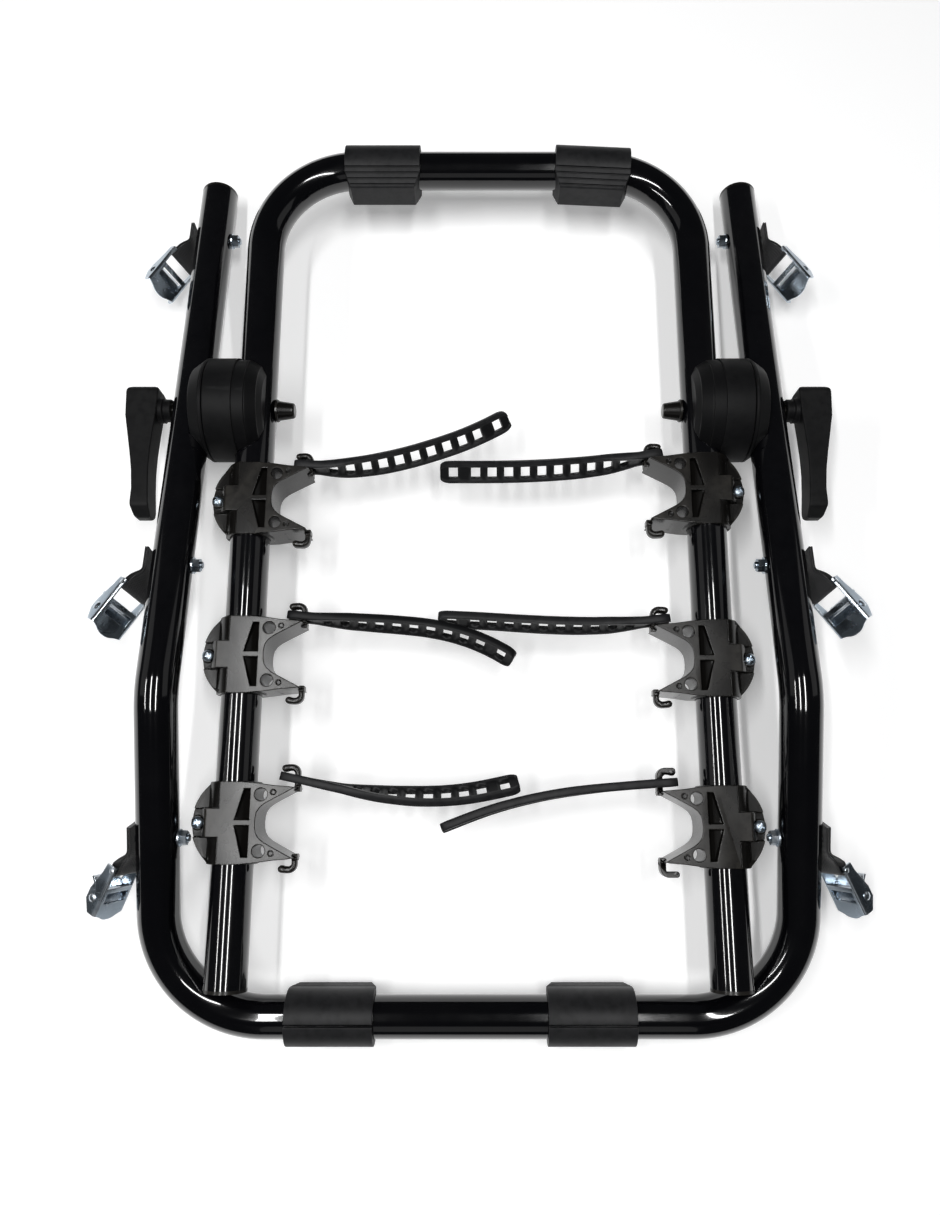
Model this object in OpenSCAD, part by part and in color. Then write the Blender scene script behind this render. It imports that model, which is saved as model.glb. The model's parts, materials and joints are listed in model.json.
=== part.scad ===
// Folding trunk bike rack, laid flat as stored. Two U-shaped tube frames cross at a common
// hinge line. The origin is the middle of the footprint on the ground, +X to the right side,
// +Y towards the top bar, +Z up. The modules below are drawn about the middle of the hinge
// line and stand() sets them on the ground. Left-hand parts are mirrored to the right.

/* [Tube] */
// Outside diameter of both frame tubes
tube_d = 32; // [25:0.5:40]
// Wall thickness of the tubes
tube_wall = 1.5; // [1:0.1:3]

/* [Inner frame] */
// Distance between the two inner leg centre lines
inner_span = 374; // [300:1:450]
// Hinge line to the centre of the top bar
top_bar_y = 232; // [180:1:300]
// Hinge line to the leg tips
inner_leg = 458; // [380:1:520]
// Bend radius of the top corners, to the tube centre
inner_bend = 80; // [60:1:110]

/* [Outer frame] */
// Distance between the two outer leg centre lines
outer_span = 484; // [400:1:560]
// Hinge line to the open upper ends, along the leg
outer_head = 234; // [180:1:300]
// Hinge line to the kink, along the leg
kink_at = 246.8; // [180:1:300]
// Slope of the upper part of the legs, in degrees
outer_slope = 8.7; // [4:0.1:14]
// Slope of the lower part of the legs, in degrees
lower_slope = 15; // [8:0.1:22]
// Kink to the centre of the bottom bar, along the leg
lower_leg = 247.4; // [200:1:300]
// Bend radius of the kink, to the tube centre
kink_bend = 70; // [50:1:120]
// Bend radius of the bottom corners, to the tube centre
outer_bend = 80; // [60:1:110]

/* [Plugs] */
// Flange thickness of the tube end plugs
plug_cap = 2.5; // [1:0.1:5]
// Depth of the plug inside the tube
plug_depth = 16; // [8:1:25]
// Wall thickness of the plug skirt
plug_wall = 2; // [1:0.1:4]

/* [Hub] */
// Diameter of the hub barrel
hub_d = 86; // [70:1:100]
// Hub end face on the outer tube, from the middle of the rack
hub_x_out = 236; // [228:0.5:245]
// Hub end face on the inner tube, from the middle of the rack
hub_x_in = 177; // [172:0.5:185]
// Seam between the two hub halves, from the middle of the rack
hub_x_seam = 222.5; // [218:0.5:224]
// Step between the wide and the narrow band, from the middle of the rack
hub_x_step = 199; // [192:0.5:205]
// Width of the wide band
hub_band = 26; // [24:0.5:32]
// Width of the narrow band
hub_band_in = 9.6; // [6:0.2:14]
// Radius step between the two bands
hub_step = 1.2; // [0.5:0.1:3]
// Length and height of the chamfer rings
hub_cham = 7; // [4:0.2:10]
// Gap between the two hub halves
hub_gap = 0.4; // [0.2:0.05:1]
// Width of the shallow grooves turned in the hub
hub_groove = 1; // [0.5:0.1:2]

/* [Pivot bolt] */
// Bolt diameter
bolt_d = 10; // [8:0.5:14]
// Diameter of the cap nut at its base
cap_d = 16.6; // [14:0.2:22]
// Diameter of the cap nut at its tip
cap_tip = 13; // [10:0.2:16]
// Length of the cap nut
cap_len = 13.5; // [8:0.5:18]
// Edge rounding of the cap nut
cap_round = 1.6; // [0.5:0.1:3]
// Washer diameter
washer_d = 19; // [16:0.5:26]
// Washer thickness
washer_t = 2; // [1:0.1:3]

/* [Clamp lever] */
// Lever face to the outer tube
boss_len = 10.6; // [6:0.2:14]
// Boss diameter
boss_d = 19; // [14:0.5:26]
// Width of the lever across its head
lever_w = 27; // [20:0.5:34]
// Height of the lever body
lever_t = 22; // [14:0.5:28]
// Length of the lever from the axis to its foot
lever_len = 95; // [70:1:120]
// Length of the head beyond the axis
lever_head = 19.5; // [14:0.5:26]
// Corner rounding of the lever
lever_round = 4; // [2:0.2:6]

/* [Pads] */
// Length of the rubber pads along the bar
pad_len = 66; // [40:1:90]
// Wall thickness of the pad sleeve
pad_wall = 5; // [3:0.2:8]
// Flat contact face to the bar centre
pad_face = 26; // [22:0.5:34]
// Width of the contact face
pad_width = 26; // [18:0.5:34]
// Width of the slit in the sleeve
pad_slit = 2; // [1:0.2:5]
// Width and depth of the grooves on the shoulders
pad_groove = 1.2; // [0.6:0.1:2]
// Spacing of the grooves
pad_pitch = 4.9; // [3:0.1:7]
// Height of the bevel at the ends of the contact block
pad_bevel = 5; // [2:0.5:8]
// Position of the left top pad, from the middle of the rack
pad_top_left_x = 85; // [40:1:100]
// Position of the right top pad
pad_top_right_x = 101; // [40:1:105]
// Position of the left bottom pad
pad_bottom_left_x = 112; // [60:1:120]
// Position of the right bottom pad
pad_bottom_right_x = 85; // [60:1:120]
// Turn of the right top pad, which sits where the bend starts, in degrees
pad_bend = 3; // [0:0.5:6]
// Turn of the bottom pads on their bar, in degrees
pad_turn = 8; // [-20:1:60]

/* [Cradles] */
// Height of the cradle barrel along the leg
cradle_h = 61; // [45:1:75]
// Thickness of the jaw plate
cradle_t = 36; // [34:0.5:44]
// Wall of the barrel around the tube
cradle_wall = 3.5; // [2.5:0.1:6]
// Radius of the disc flange
flange_r = 38; // [30:0.5:42]
// Thickness of the flange on both sides of its slit
flange_t = 8; // [5:0.2:12]
// Slit between the two clamping flanges
flange_slit = 1.6; // [1:0.1:4]
// Diameter of the two round holes
hole_d = 9.4; // [6:0.1:12]
// Diameter of the rear pockets of the round holes
hole_pocket_d = 16; // [12:0.5:18]
// Depth of the rear pockets
hole_pocket = 12; // [6:0.5:18]
// Depth of the triangular recesses
recess = 5; // [2:0.2:9]
// Thickness of the strap hooks
hook_t = 4.4; // [3:0.1:6]
// Width of the hooks where the strap sits
hook_w = 9; // [6:0.2:9.4]
// Width of the block carrying the clamp screw
block_w = 21.5; // [14:0.5:30]
// Screw axis to the leg centre
screw_x = 26; // [24:0.2:30]
// Screw head diameter
screw_head = 9; // [7:0.2:12]
// Screw shank diameter
screw_d = 4.8; // [3:0.1:6]

/* [Straps] */
// Strap width
strap_w = 19; // [14:0.5:25]
// Strap thickness
strap_t = 6.5; // [4:0.1:8]
// Spacing of the holes
strap_pitch = 13.8; // [10:0.1:18]
// Length of a hole along the strap
strap_hole = 7.5; // [5:0.1:9]
// Width of a hole across the strap
strap_hole_w = 10; // [8:0.1:13]
// Spacing of the two end holes from the ladder
strap_end_gap = 18.5; // [14:0.1:24]
// End of the strap to the hole on the hook
strap_tab = 14; // [10:0.5:20]
// Last hole to the free tip
strap_tip = 11; // [8:0.5:16]

/* [Buckles] */
// Webbing width
web_w = 24; // [18:0.5:30]
// Webbing thickness
web_t = 1.5; // [1:0.1:2.5]
// Free length of the webbing from the bolt to the buckle bar
web_len = 25; // [18:0.5:40]
// Webbing beyond the bolt
web_tail = 11; // [8:0.5:16]
// Buckle length
buckle_len = 41; // [32:0.5:55]
// Gap between the webbing and the side walls of the buckle
buckle_side = 1.2; // [0.6:0.1:3]
// Sheet thickness of the buckle
sheet_t = 1.8; // [1:0.1:3]
// Height of the side walls at the cam pin
buckle_h = 14; // [10:0.2:20]
// Radius of the buckle bar
bar_r = 2; // [1.5:0.1:3]
// Radius of the cam pin
pin_r = 2.2; // [1.5:0.1:3]
// Distance from the bar to the cam pin
pin_at = 25; // [18:0.5:32]
// Radius of the toothed cam
cam_r = 6; // [4:0.1:9]
// Length of the cam thumb plate
thumb_len = 16; // [10:0.5:24]
// Hanger bolt diameter
clip_bolt_d = 6; // [4:0.2:8]
// Nut width across the corners
clip_nut_d = 11.5; // [8:0.2:14]
// Nut height
clip_nut_h = 5; // [3:0.2:8]
// Bolt end standing out of the nut
clip_end = 2; // [1:0.2:6]
// Dome height of the bolt head
clip_head = 3.2; // [2:0.2:5]

/* [Fits] */
// Radial seat gap of parts that are fixed together
seat = 0.04; // [0:0.01:0.1]
// Radial running gap of turning parts
run = 0.08; // [0.03:0.01:0.15]
// Free gap between parts that move past each other
free_gap = 0.4; // [0.3:0.05:1]

/* [Hidden] */
tube_r = tube_d / 2;
bore_r = tube_r - tube_wall;
inner_x = inner_span / 2;
outer_x = outer_span / 2;
kink_turn = outer_slope + lower_slope;
kink_cut = kink_bend * tan(kink_turn / 2);
knee_y = -kink_at * cos(outer_slope);
knee_z = kink_at * sin(outer_slope);
// Middle of the footprint, and height of the hinge line over the ground
pad_r = tube_r + pad_wall;
base_y = -(top_bar_y + knee_y - lower_leg * cos(lower_slope)) / 2;
base_z = lower_leg * sin(lower_slope) - knee_z + pad_face * cos(lower_slope + pad_turn)
  + (pad_width / 2 - pad_groove) * sin(lower_slope + pad_turn);
over = tube_d;
// the bent knee takes the ends of the straight legs with a hair's width to spare
knee_lap = tube_d / 16;
knee_step = tube_d / 600;
hub_r = hub_d / 2;
bolt_r = bolt_d / 2;
lever_x = outer_x + tube_r + boss_len;
cradle_r = tube_r + cradle_wall;
cu = cradle_h / 61;
jaw_z = cradle_t / 2;
hook_mid = 50 * cu - hook_t / 2;
cradle_y_left = [-83 * cu, -211 * cu, -339 * cu];
cradle_y_right = [-74.5 * cu, -214 * cu, -342 * cu];
strap_holes = 10;
strap_len = strap_tab + 2 * strap_end_gap + (strap_holes - 1) * strap_pitch + strap_tip;
bu = buckle_len / 41;
buckle_w = web_w + 2 * (buckle_side + sheet_t);
wu = web_len / 25;
// Position of the hanger bolts along the leg: two on the upper part, one on the lower part
clip_y = [181.5 * wu, -142.6 * wu, -110 * wu];
// Turn and lean of each buckle, in degrees
clip_head_left = [28, 31, 24];
clip_lean_left = [34, 32, 24];
clip_head_right = [30, 34, 26];
clip_lean_right = [35, 34, 26];
// Heading of each strap from its hooked end to its tip, in degrees
way_left = [[-4, 6, 12, 17, 20, 26, 31], [-6, -4, -4, -6, -14, -24, -34],
            [-12, -10, -6, -2, 4, 11, 13]];
way_right = [[-11, -9, -5, -3, -1, 0, 0], [-7, -3, 1, 3, 4, 3, 3], [-4, -5, -7, -11, -15, -20, -22]];
// Lean of each strap about its own length, in degrees
lean_left = [[0, 30, 42, 44, 44, 44, 44], [0, 18, 24, 26, 28, 30, 32],
             [0, -6, -26, -40, -44, -45, -45]];
lean_right = [[0, 32, 42, 44, 44, 44, 44], [0, 18, 22, 22, 20, 20, 18], [0, 0, 2, 3, 4, 5, 6]];

FRAME_BLACK = [0.03, 0.03, 0.035];
PLASTIC = [0.12, 0.12, 0.125];
RUBBER = [0.09, 0.09, 0.095];
ZINC = [0.62, 0.64, 0.66];
WEB = [0.05, 0.05, 0.055];

// Helpers
module stand() { translate([0, base_y, base_z]) children(); }
module right() { mirror([1, 0, 0]) children(); }
module along_x() { rotate([0, 90, 0]) children(); }
module along_y() { rotate([90, 0, 0]) children(); }
module rod_y(r, y0, y1) { translate([0, y1, 0]) along_y() cylinder(r = r, h = y1 - y0, $fn = 96); }
module rod_x(r, x0, x1) { translate([x0, 0, 0]) along_x() cylinder(r = r, h = x1 - x0, $fn = 96); }
module quarter(bend, r) {
  rotate_extrude(angle = 90, $fn = 128) translate([bend, 0]) circle(r = r, $fn = 64);
}
// Frame of the upper outer leg, and of the lower outer leg
module upper_leg() { rotate([-outer_slope, 0, 0]) children(); }
module lower_leg_frame() { translate([0, knee_y, knee_z]) rotate([lower_slope, 0, 0]) children(); }

// Inner U: two straight legs, two bends and the top bar; `ext` runs the tips on for cutting
module inner_u(r, ext) {
  for (s = [-1, 1]) translate([s * inner_x, 0, 0])
    rod_y(r, -inner_leg - ext, top_bar_y - inner_bend);
  translate([inner_x - inner_bend, top_bar_y - inner_bend, 0]) quarter(inner_bend, r);
  translate([-inner_x + inner_bend, top_bar_y - inner_bend, 0]) rotate([0, 0, 90])
    quarter(inner_bend, r);
  translate([0, top_bar_y, 0]) rod_x(r, -inner_x + inner_bend, inner_x - inner_bend);
}
// Outer U: open upper ends, kinked legs, two bends and the bottom bar
module outer_u(r, ext) {
  for (s = [-1, 1]) translate([s * outer_x, 0, 0]) {
    upper_leg() rod_y(r, -kink_at + kink_cut - knee_lap, outer_head + ext);
    lower_leg_frame() rod_y(r, -lower_leg + outer_bend - knee_lap, -kink_cut + knee_lap);
    // The knee turns in the side plane
    translate([0, knee_y, knee_z]) rotate([-outer_slope, 0, 0])
      translate([0, kink_cut, -kink_bend]) rotate([90, 0, 90]) rotate([0, 0, 90])
        rotate_extrude(angle = kink_turn, $fn = 256)
          translate([kink_bend, 0]) circle(r = r + knee_step, $fn = 64);
  }
  lower_leg_frame() {
    translate([outer_x - outer_bend, -lower_leg + outer_bend, 0]) rotate([0, 0, -90])
      quarter(outer_bend, r + knee_step);
    translate([-outer_x + outer_bend, -lower_leg + outer_bend, 0]) rotate([0, 0, 180])
      quarter(outer_bend, r + knee_step);
    translate([0, -lower_leg, 0])
      rod_x(r, -outer_x + outer_bend - knee_lap, outer_x - outer_bend + knee_lap);
  }
}
// Cross holes through the outer legs for the hanger bolts
module clip_place(i, side) {
  if (i < 2) upper_leg() translate([side * outer_x, clip_y[i], 0]) children();
  else lower_leg_frame() translate([side * outer_x, clip_y[i], 0]) children();
}

module outer_frame() color(FRAME_BLACK) stand() difference() {
  outer_u(tube_r, 0);
  outer_u(bore_r, over);
  rod_x(bolt_r + seat, -outer_x - over, -outer_x + over);
  rod_x(bolt_r + seat, outer_x - over, outer_x + over);
  for (i = [0:2]) for (s = [-1, 1]) clip_place(i, s) rod_x(clip_bolt_d / 2 + seat, -over, over);
}
module inner_frame() color(FRAME_BLACK) stand() difference() {
  inner_u(tube_r, 0);
  inner_u(bore_r, over);
  rod_x(bolt_r + run, -inner_x - over, -inner_x + over);
  rod_x(bolt_r + run, inner_x - over, inner_x + over);
}
// Hollow plug with a flat flange, along +Y
module plug() {
  rod_y(tube_r, 0, plug_cap);
  difference() {
    rod_y(bore_r - seat, -plug_depth, 0);
    rod_y(bore_r - plug_wall, -plug_depth - over, -plug_wall);
  }
}
module outer_plug_right() color(PLASTIC) stand() upper_leg() translate([outer_x, outer_head, 0]) plug();
module outer_plug_left() right() outer_plug_right();
module inner_plug_right() color(PLASTIC) stand() translate([inner_x, -inner_leg, 0])
  rotate([0, 0, 180]) plug();
module inner_plug_left() right() inner_plug_right();

// Turned profile about the hinge line: list of [x, radius]
module turned(pts) {
  along_x() rotate_extrude($fn = 180) polygon([for (p = pts) [p[1], p[0]]]);
}
hub_x_band = hub_x_step + hub_band;
module hub_outer_right() color(PLASTIC) stand() difference() {
  turned([
    [hub_x_seam + hub_gap / 2, 0],
    [hub_x_seam + hub_gap / 2, hub_r - hub_groove / 2],
    [hub_x_seam + (hub_gap + hub_groove) / 2, hub_r],
    [hub_x_band, hub_r],
    [hub_x_band, hub_r - hub_groove],
    [hub_x_band + hub_groove, hub_r - hub_groove],
    [hub_x_out - hub_groove, hub_r - hub_cham],
    [hub_x_out, hub_r - hub_cham - hub_groove],
    [hub_x_out, 0]]);
  upper_leg() translate([outer_x, 0, 0]) rod_y(tube_r + seat, -hub_d, hub_d);
  rod_x(bolt_r + seat, hub_x_in, outer_x);
}
module hub_outer_left() right() hub_outer_right();
module hub_inner_right() color(PLASTIC) stand() difference() {
  turned([
    [hub_x_seam - hub_gap / 2, 0],
    [hub_x_seam - hub_gap / 2, hub_r - hub_groove / 2],
    [hub_x_seam - (hub_gap + hub_groove) / 2, hub_r],
    [hub_x_step, hub_r],
    [hub_x_step, hub_r - hub_step],
    [hub_x_step - hub_band_in, hub_r - hub_step],
    [hub_x_step - hub_band_in, hub_r - hub_step - hub_groove],
    [hub_x_step - hub_band_in - hub_groove, hub_r - hub_step - hub_groove],
    [hub_x_in + hub_cham / 2, hub_r - hub_cham],
    [hub_x_in + hub_cham / 2, hub_r - hub_cham - hub_groove],
    [hub_x_in, hub_r - 2 * hub_cham],
    [hub_x_in, 0]]);
  translate([inner_x, 0, 0]) rod_y(tube_r + seat, -hub_d, hub_d);
  // the side of the tube stands proud of the saddle
  translate([inner_x - over - tube_r, -hub_d, -tube_r - seat])
    cube([over + tube_r, 2 * hub_d, tube_d + 2 * seat]);
  rod_x(bolt_r + run, hub_x_in - over, hub_x_seam + over);
}
module hub_inner_left() right() hub_inner_right();

cap_x = inner_x - tube_r - free_gap;
module pivot_bolt_right() color(FRAME_BLACK) stand() {
  turned([
    [cap_x - washer_t - cap_len, 0],
    [cap_x - washer_t - cap_len, cap_tip / 2 - cap_round],
    [cap_x - washer_t - cap_len + cap_round * 0.3, cap_tip / 2 - cap_round * 0.3],
    [cap_x - washer_t - cap_len + cap_round, cap_tip / 2],
    [cap_x - washer_t, cap_d / 2],
    [cap_x - washer_t, washer_d / 2 - washer_t / 4],
    [cap_x - washer_t * 0.75, washer_d / 2],
    [cap_x, washer_d / 2],
    [cap_x, bolt_r],
    [lever_x + lever_w * 0.62, bolt_r],
    [lever_x + lever_w * 0.62, 0]]);
}
module pivot_bolt_left() right() pivot_bolt_right();

// Clamp lever: outline seen from above, rounded at its head and foot in the side view
lx = lever_w / 27;
ly = lever_len / 95;
module lever_outline() {
  polygon([
    [0, lever_head - lever_round], [lever_round * 0.3, lever_head - lever_round * 0.3],
    [lever_round, lever_head], [27 * lx - lever_round, lever_head],
    [27 * lx - lever_round * 0.3, lever_head - lever_round * 0.3],
    [27 * lx, lever_head - lever_round], [26 * lx, -8 * ly], [23 * lx, -24 * ly],
    [20 * lx, -40 * ly], [17.4 * lx, -56 * ly], [16 * lx, -72 * ly],
    [16.4 * lx, -86 * ly], [15 * lx, -93 * ly], [13.4 * lx, -95 * ly], [3 * lx, -95 * ly],
    [1.4 * lx, -94 * ly], [0.9 * lx, -88 * ly], [2.4 * lx, -70 * ly], [3.2 * lx, -54 * ly],
    [3 * lx, -38 * ly], [1.8 * lx, -20 * ly], [0.4 * lx, -4 * ly]]);
}
module lever_side() {
  polygon([
    [lever_head, -lever_t * 0.28], [lever_head, lever_t * 0.28],
    [lever_head - lever_round * 0.6, lever_t * 0.42], [lever_head - lever_round * 1.6, lever_t / 2],
    [-84 * ly, lever_t / 2], [-88 * ly, lever_t * 0.44], [-95 * ly, lever_t * 0.05],
    [-95 * ly, -lever_t * 0.34], [-92 * ly, -lever_t / 2],
    [lever_head - lever_round * 1.6, -lever_t / 2],
    [lever_head - lever_round * 0.6, -lever_t * 0.42]]);
}
module lever_right() color(PLASTIC) stand() difference() {
  union() {
    intersection() {
      translate([lever_x, 0, -lever_t / 2]) linear_extrude(lever_t) lever_outline();
      translate([lever_x - lever_w, 0, 0]) rotate([90, 0, 90]) linear_extrude(3 * lever_w)
        lever_side();
    }
    rod_x(boss_d / 2, outer_x + tube_r + free_gap, lever_x + lever_w / 4);
    rod_x(boss_d / 2 + hub_groove, lever_x - boss_len * 0.35, lever_x + lever_w / 4);
  }
  rod_x(bolt_r + run, outer_x, lever_x + lever_w * 0.66);
}
module lever_left() right() lever_right();

// Rubber pad: sleeve about X, contact face towards -Z of its own frame
module pad(bored) {
  pr = pad_r;
  hw = pad_width / 2;
  tilt = 90 - atan2(hw, pad_face) - acos(pr / norm([hw, pad_face]));
  // the shoulders start a little inside the sleeve
  tx = pr * 0.98 * cos(tilt);
  tz = -pr * 0.98 * sin(tilt);
  difference() {
    union() {
      rod_x(pr, -pad_len / 2, pad_len / 2);
      translate([-pad_len / 2, 0, 0]) rotate([90, 0, 90]) linear_extrude(pad_len)
        polygon([[tx, tz], [hw, -pad_face + pad_groove], [hw - pad_groove, -pad_face],
                 [-hw + pad_groove, -pad_face], [-hw, -pad_face + pad_groove], [-tx, tz]]);
    }
    if (bored) rod_x(tube_r + seat, -pad_len, pad_len);
    // slit opposite the contact face, a little off centre
    rotate([-15, 0, 0]) translate([-pad_len, -pad_slit / 2, 0])
      cube([2 * pad_len, pad_slit, 2 * pr]);
    // grooves on both shoulders
    for (s = [-1, 1]) for (i = [-1.5:1:1.5])
      translate([0, s * (tx + hw) / 2, (tz - pad_face) / 2])
        rotate([-s * (90 + tilt), 0, 0])
          translate([-pad_len, i * pad_pitch - pad_groove / 2, -pad_groove])
            cube([2 * pad_len, pad_groove, 2 * pad_groove]);
    // bevelled ends of the contact block
    for (s = [0, 1]) mirror([s, 0, 0]) rotate([90, 0, 0])
      linear_extrude(4 * pr, center = true) polygon([
        [pad_len / 2 - pad_bevel, -pad_face], [pad_len / 2 - pad_bevel, -2 * pad_face],
        [pad_len, -2 * pad_face], [pad_len, -pad_face + 2.6 * pad_bevel],
        [pad_len / 2, -pad_face + 2.6 * pad_bevel]]);
  }
}
// The top pads reach onto the bends, so the tube is cut out of them as it runs
module top_pad(x, turn) color(RUBBER) stand() difference() {
  translate([x, top_bar_y + turn * pad_wall / 15, 0]) rotate([0, 0, turn])
    rotate([-90, 0, 0]) pad(false);
  translate([0, top_bar_y, 0])
    rod_x(tube_r + seat, -inner_x + inner_bend - knee_lap, inner_x - inner_bend + knee_lap);
  for (s = [0, 1]) mirror([s, 0, 0])
    translate([inner_x - inner_bend, top_bar_y - inner_bend, 0])
      quarter(inner_bend, tube_r + seat + knee_step);
}
module bottom_pad(x) color(RUBBER) stand() lower_leg_frame() translate([x, -lower_leg, 0])
  rotate([pad_turn, 0, 0]) pad(true);
module pad_top_left() top_pad(-pad_top_left_x, 0);
module pad_top_right() top_pad(pad_top_right_x, -pad_bend);
module pad_bottom_left() bottom_pad(-pad_bottom_left_x);
module pad_bottom_right() bottom_pad(pad_bottom_right_x);

// Cradle seen from above; +X towards the notch, origin on the leg centre line
notch_pts = [[70, 36], [47.5, 25.2], [33, 17.6], [26.5, 14], [22.8, 11], [20.6, 7.6], [19.8, 4],
             [19.6, 0], [19.8, -4], [20.6, -7.6], [22.8, -11], [26.5, -14], [33, -17.6],
             [47.5, -25.2], [70, -36]] * cu;
plate_pts = [[-8, -30.5], [20.4, -29.4], [33, -27.6], [45.4, -26.6], [49.6, -25.4], [50, -24],
             [20, 0], [50, 24], [49.6, 25.4], [45.4, 26.6], [33, 27.6], [20.4, 29.4],
             [-8, 30.5]] * cu;
module hook_shape(top) {
  // bar, curl and rounded end of a strap hook, drawn for the upper horn
  lift = top ? 37.6 * cu : 31 * cu;
  x1 = 50 * cu;
  difference() {
    union() {
      translate([x1 - hook_t, 23 * cu]) square([hook_t, lift - 23 * cu]);
      translate([x1 - 6.6 * cu, lift]) circle(r = 6.6 * cu, $fn = 64);
      translate([37.6 * cu, lift + 6.6 * cu - hook_t]) square([6 * cu, hook_t]);
      translate([37.6 * cu, lift + 6.6 * cu - hook_t / 2]) circle(d = hook_t, $fn = 32);
    }
    translate([x1 - 6.6 * cu, lift]) circle(r = 6.6 * cu - hook_t, $fn = 48);
    translate([x1 - hook_t - 12 * cu, lift - 6.6 * cu]) square([12 * cu, 6.6 * cu + 6.6 * cu - hook_t]);
  }
}
module cradle() difference() {
  union() {
    intersection() {
      rod_y(cradle_r, -cradle_h / 2, cradle_h / 2);
      translate([-2 * cradle_r, -cradle_h, -jaw_z]) cube([4 * cradle_r, 2 * cradle_h, cradle_t]);
    }
    // jaw plate
    difference() {
      translate([0, 0, -jaw_z]) linear_extrude(cradle_t) polygon(plate_pts);
      translate([0, 0, -2 * jaw_z]) linear_extrude(2 * cradle_t) polygon(notch_pts);
    }
    // disc flange on the outer side
    intersection() {
      translate([7 * cu, 0, -flange_t]) cylinder(r = flange_r, h = 2 * flange_t, $fn = 160);
      translate([-2 * flange_r, -cradle_h / 2, -flange_t])
        cube([2 * flange_r, cradle_h, 2 * flange_t]);
    }
    // block carrying the clamp screw
    intersection() {
      rod_y(cradle_r + 5.5 * cu, -block_w / 2, block_w / 2);
      translate([-2 * cradle_r, -cradle_h, -jaw_z]) cube([2 * cradle_r, 2 * cradle_h, cradle_t]);
    }
    // strap hooks on both horns, narrower than the plate
    translate([0, 0, -hook_w / 2]) linear_extrude(hook_w) hook_shape(true);
    translate([0, 0, -hook_w / 2]) linear_extrude(hook_w) mirror([0, 1]) hook_shape(false);
  }
  rod_y(tube_r + run, -cradle_h, cradle_h);
  // clamp slit
  translate([-2 * flange_r, -cradle_h, -flange_slit / 2])
    cube([2 * flange_r, 2 * cradle_h, flange_slit]);
  // screw hole and the pocket of its head
  translate([-screw_x, 0, -cradle_t]) cylinder(r = screw_d / 2 + seat, h = 2 * cradle_t, $fn = 48);
  translate([-screw_x, 0, flange_t]) cylinder(r = screw_head * 0.72, h = cradle_t, $fn = 64);
  // round holes with a pocket behind each
  for (s = [-1, 1]) translate([23 * cu, s * 20.7 * cu, 0]) {
    translate([0, 0, -cradle_t]) cylinder(d = hole_d, h = 2 * cradle_t, $fn = 64);
    translate([0, 0, -jaw_z - over]) cylinder(d = min(hole_pocket_d, 11.6 * cu),
      h = over + hole_pocket, $fn = 64);
  }
  // triangular recesses on both faces, leaving a rib between them
  for (s = [-1, 1]) for (f = [0, 1]) mirror([0, 0, f]) mirror([0, s < 0 ? 1 : 0, 0])
    translate([0, 0, jaw_z - recess * 0.34]) linear_extrude(recess)
      polygon([[4.2, 2.2], [14.8, 2.2], [14.8, 25], [10.4, 25]] * cu);
  // shallow ejector marks
  for (s = [-1, 1]) translate([32.3 * cu, s * 22.4 * cu, jaw_z - free_gap])
    cylinder(r = 1.9 * cu, h = recess, $fn = 32);
}
module screw() {
  translate([-screw_x, 0, 0]) difference() {
    union() {
      translate([0, 0, -flange_t - recess * 0.4]) cylinder(d = screw_d,
        h = 2 * flange_t + recess * 0.4 + screw_head * 0.07, $fn = 48);
      translate([0, 0, flange_t]) cylinder(d = screw_head, h = screw_head * 0.14, $fn = 64);
      translate([0, 0, flange_t + screw_head * 0.14])
        intersection() {
          translate([0, 0, -screw_head * 0.55]) sphere(r = screw_head * 0.743, $fn = 96);
          translate([0, 0, -screw_head * 0.05])
            cylinder(d = screw_head, h = screw_head * 0.3, $fn = 64);
        }
    }
    for (a = [0, 90]) rotate([0, 0, a + 20]) translate([-screw_head * 0.3, -screw_head * 0.06,
      flange_t + screw_head * 0.1]) cube([screw_head * 0.6, screw_head * 0.12, screw_head]);
  }
}
// The left side carries the notch towards +X; the right side is its mirror image
module on_left(y) translate([-inner_x, y, 0]) children();
module on_right(y) right() translate([-inner_x, y, 0]) children();
module cradle_left_1() color(PLASTIC) stand() on_left(cradle_y_left[0]) cradle();
module cradle_left_2() color(PLASTIC) stand() on_left(cradle_y_left[1]) cradle();
module cradle_left_3() color(PLASTIC) stand() on_left(cradle_y_left[2]) cradle();
module cradle_right_1() color(PLASTIC) stand() on_right(cradle_y_right[0]) cradle();
module cradle_right_2() color(PLASTIC) stand() on_right(cradle_y_right[1]) cradle();
module cradle_right_3() color(PLASTIC) stand() on_right(cradle_y_right[2]) cradle();
module screw_left_1() color(ZINC) stand() on_left(cradle_y_left[0]) screw();
module screw_left_2() color(ZINC) stand() on_left(cradle_y_left[1]) screw();
module screw_left_3() color(ZINC) stand() on_left(cradle_y_left[2]) screw();
module screw_right_1() color(ZINC) stand() on_right(cradle_y_right[0]) screw();
module screw_right_2() color(ZINC) stand() on_right(cradle_y_right[1]) screw();
module screw_right_3() color(ZINC) stand() on_right(cradle_y_right[2]) screw();

// Soft bands: a centre line walked with a heading list, then leaned about its own length
function pick(list, t) = let (n = len(list) - 1, q = max(0, min(0.9999, t)) * n, i = floor(q))
  list[i] + (q - i) * (list[i + 1] - list[i]);
STEPS = 62;
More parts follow.
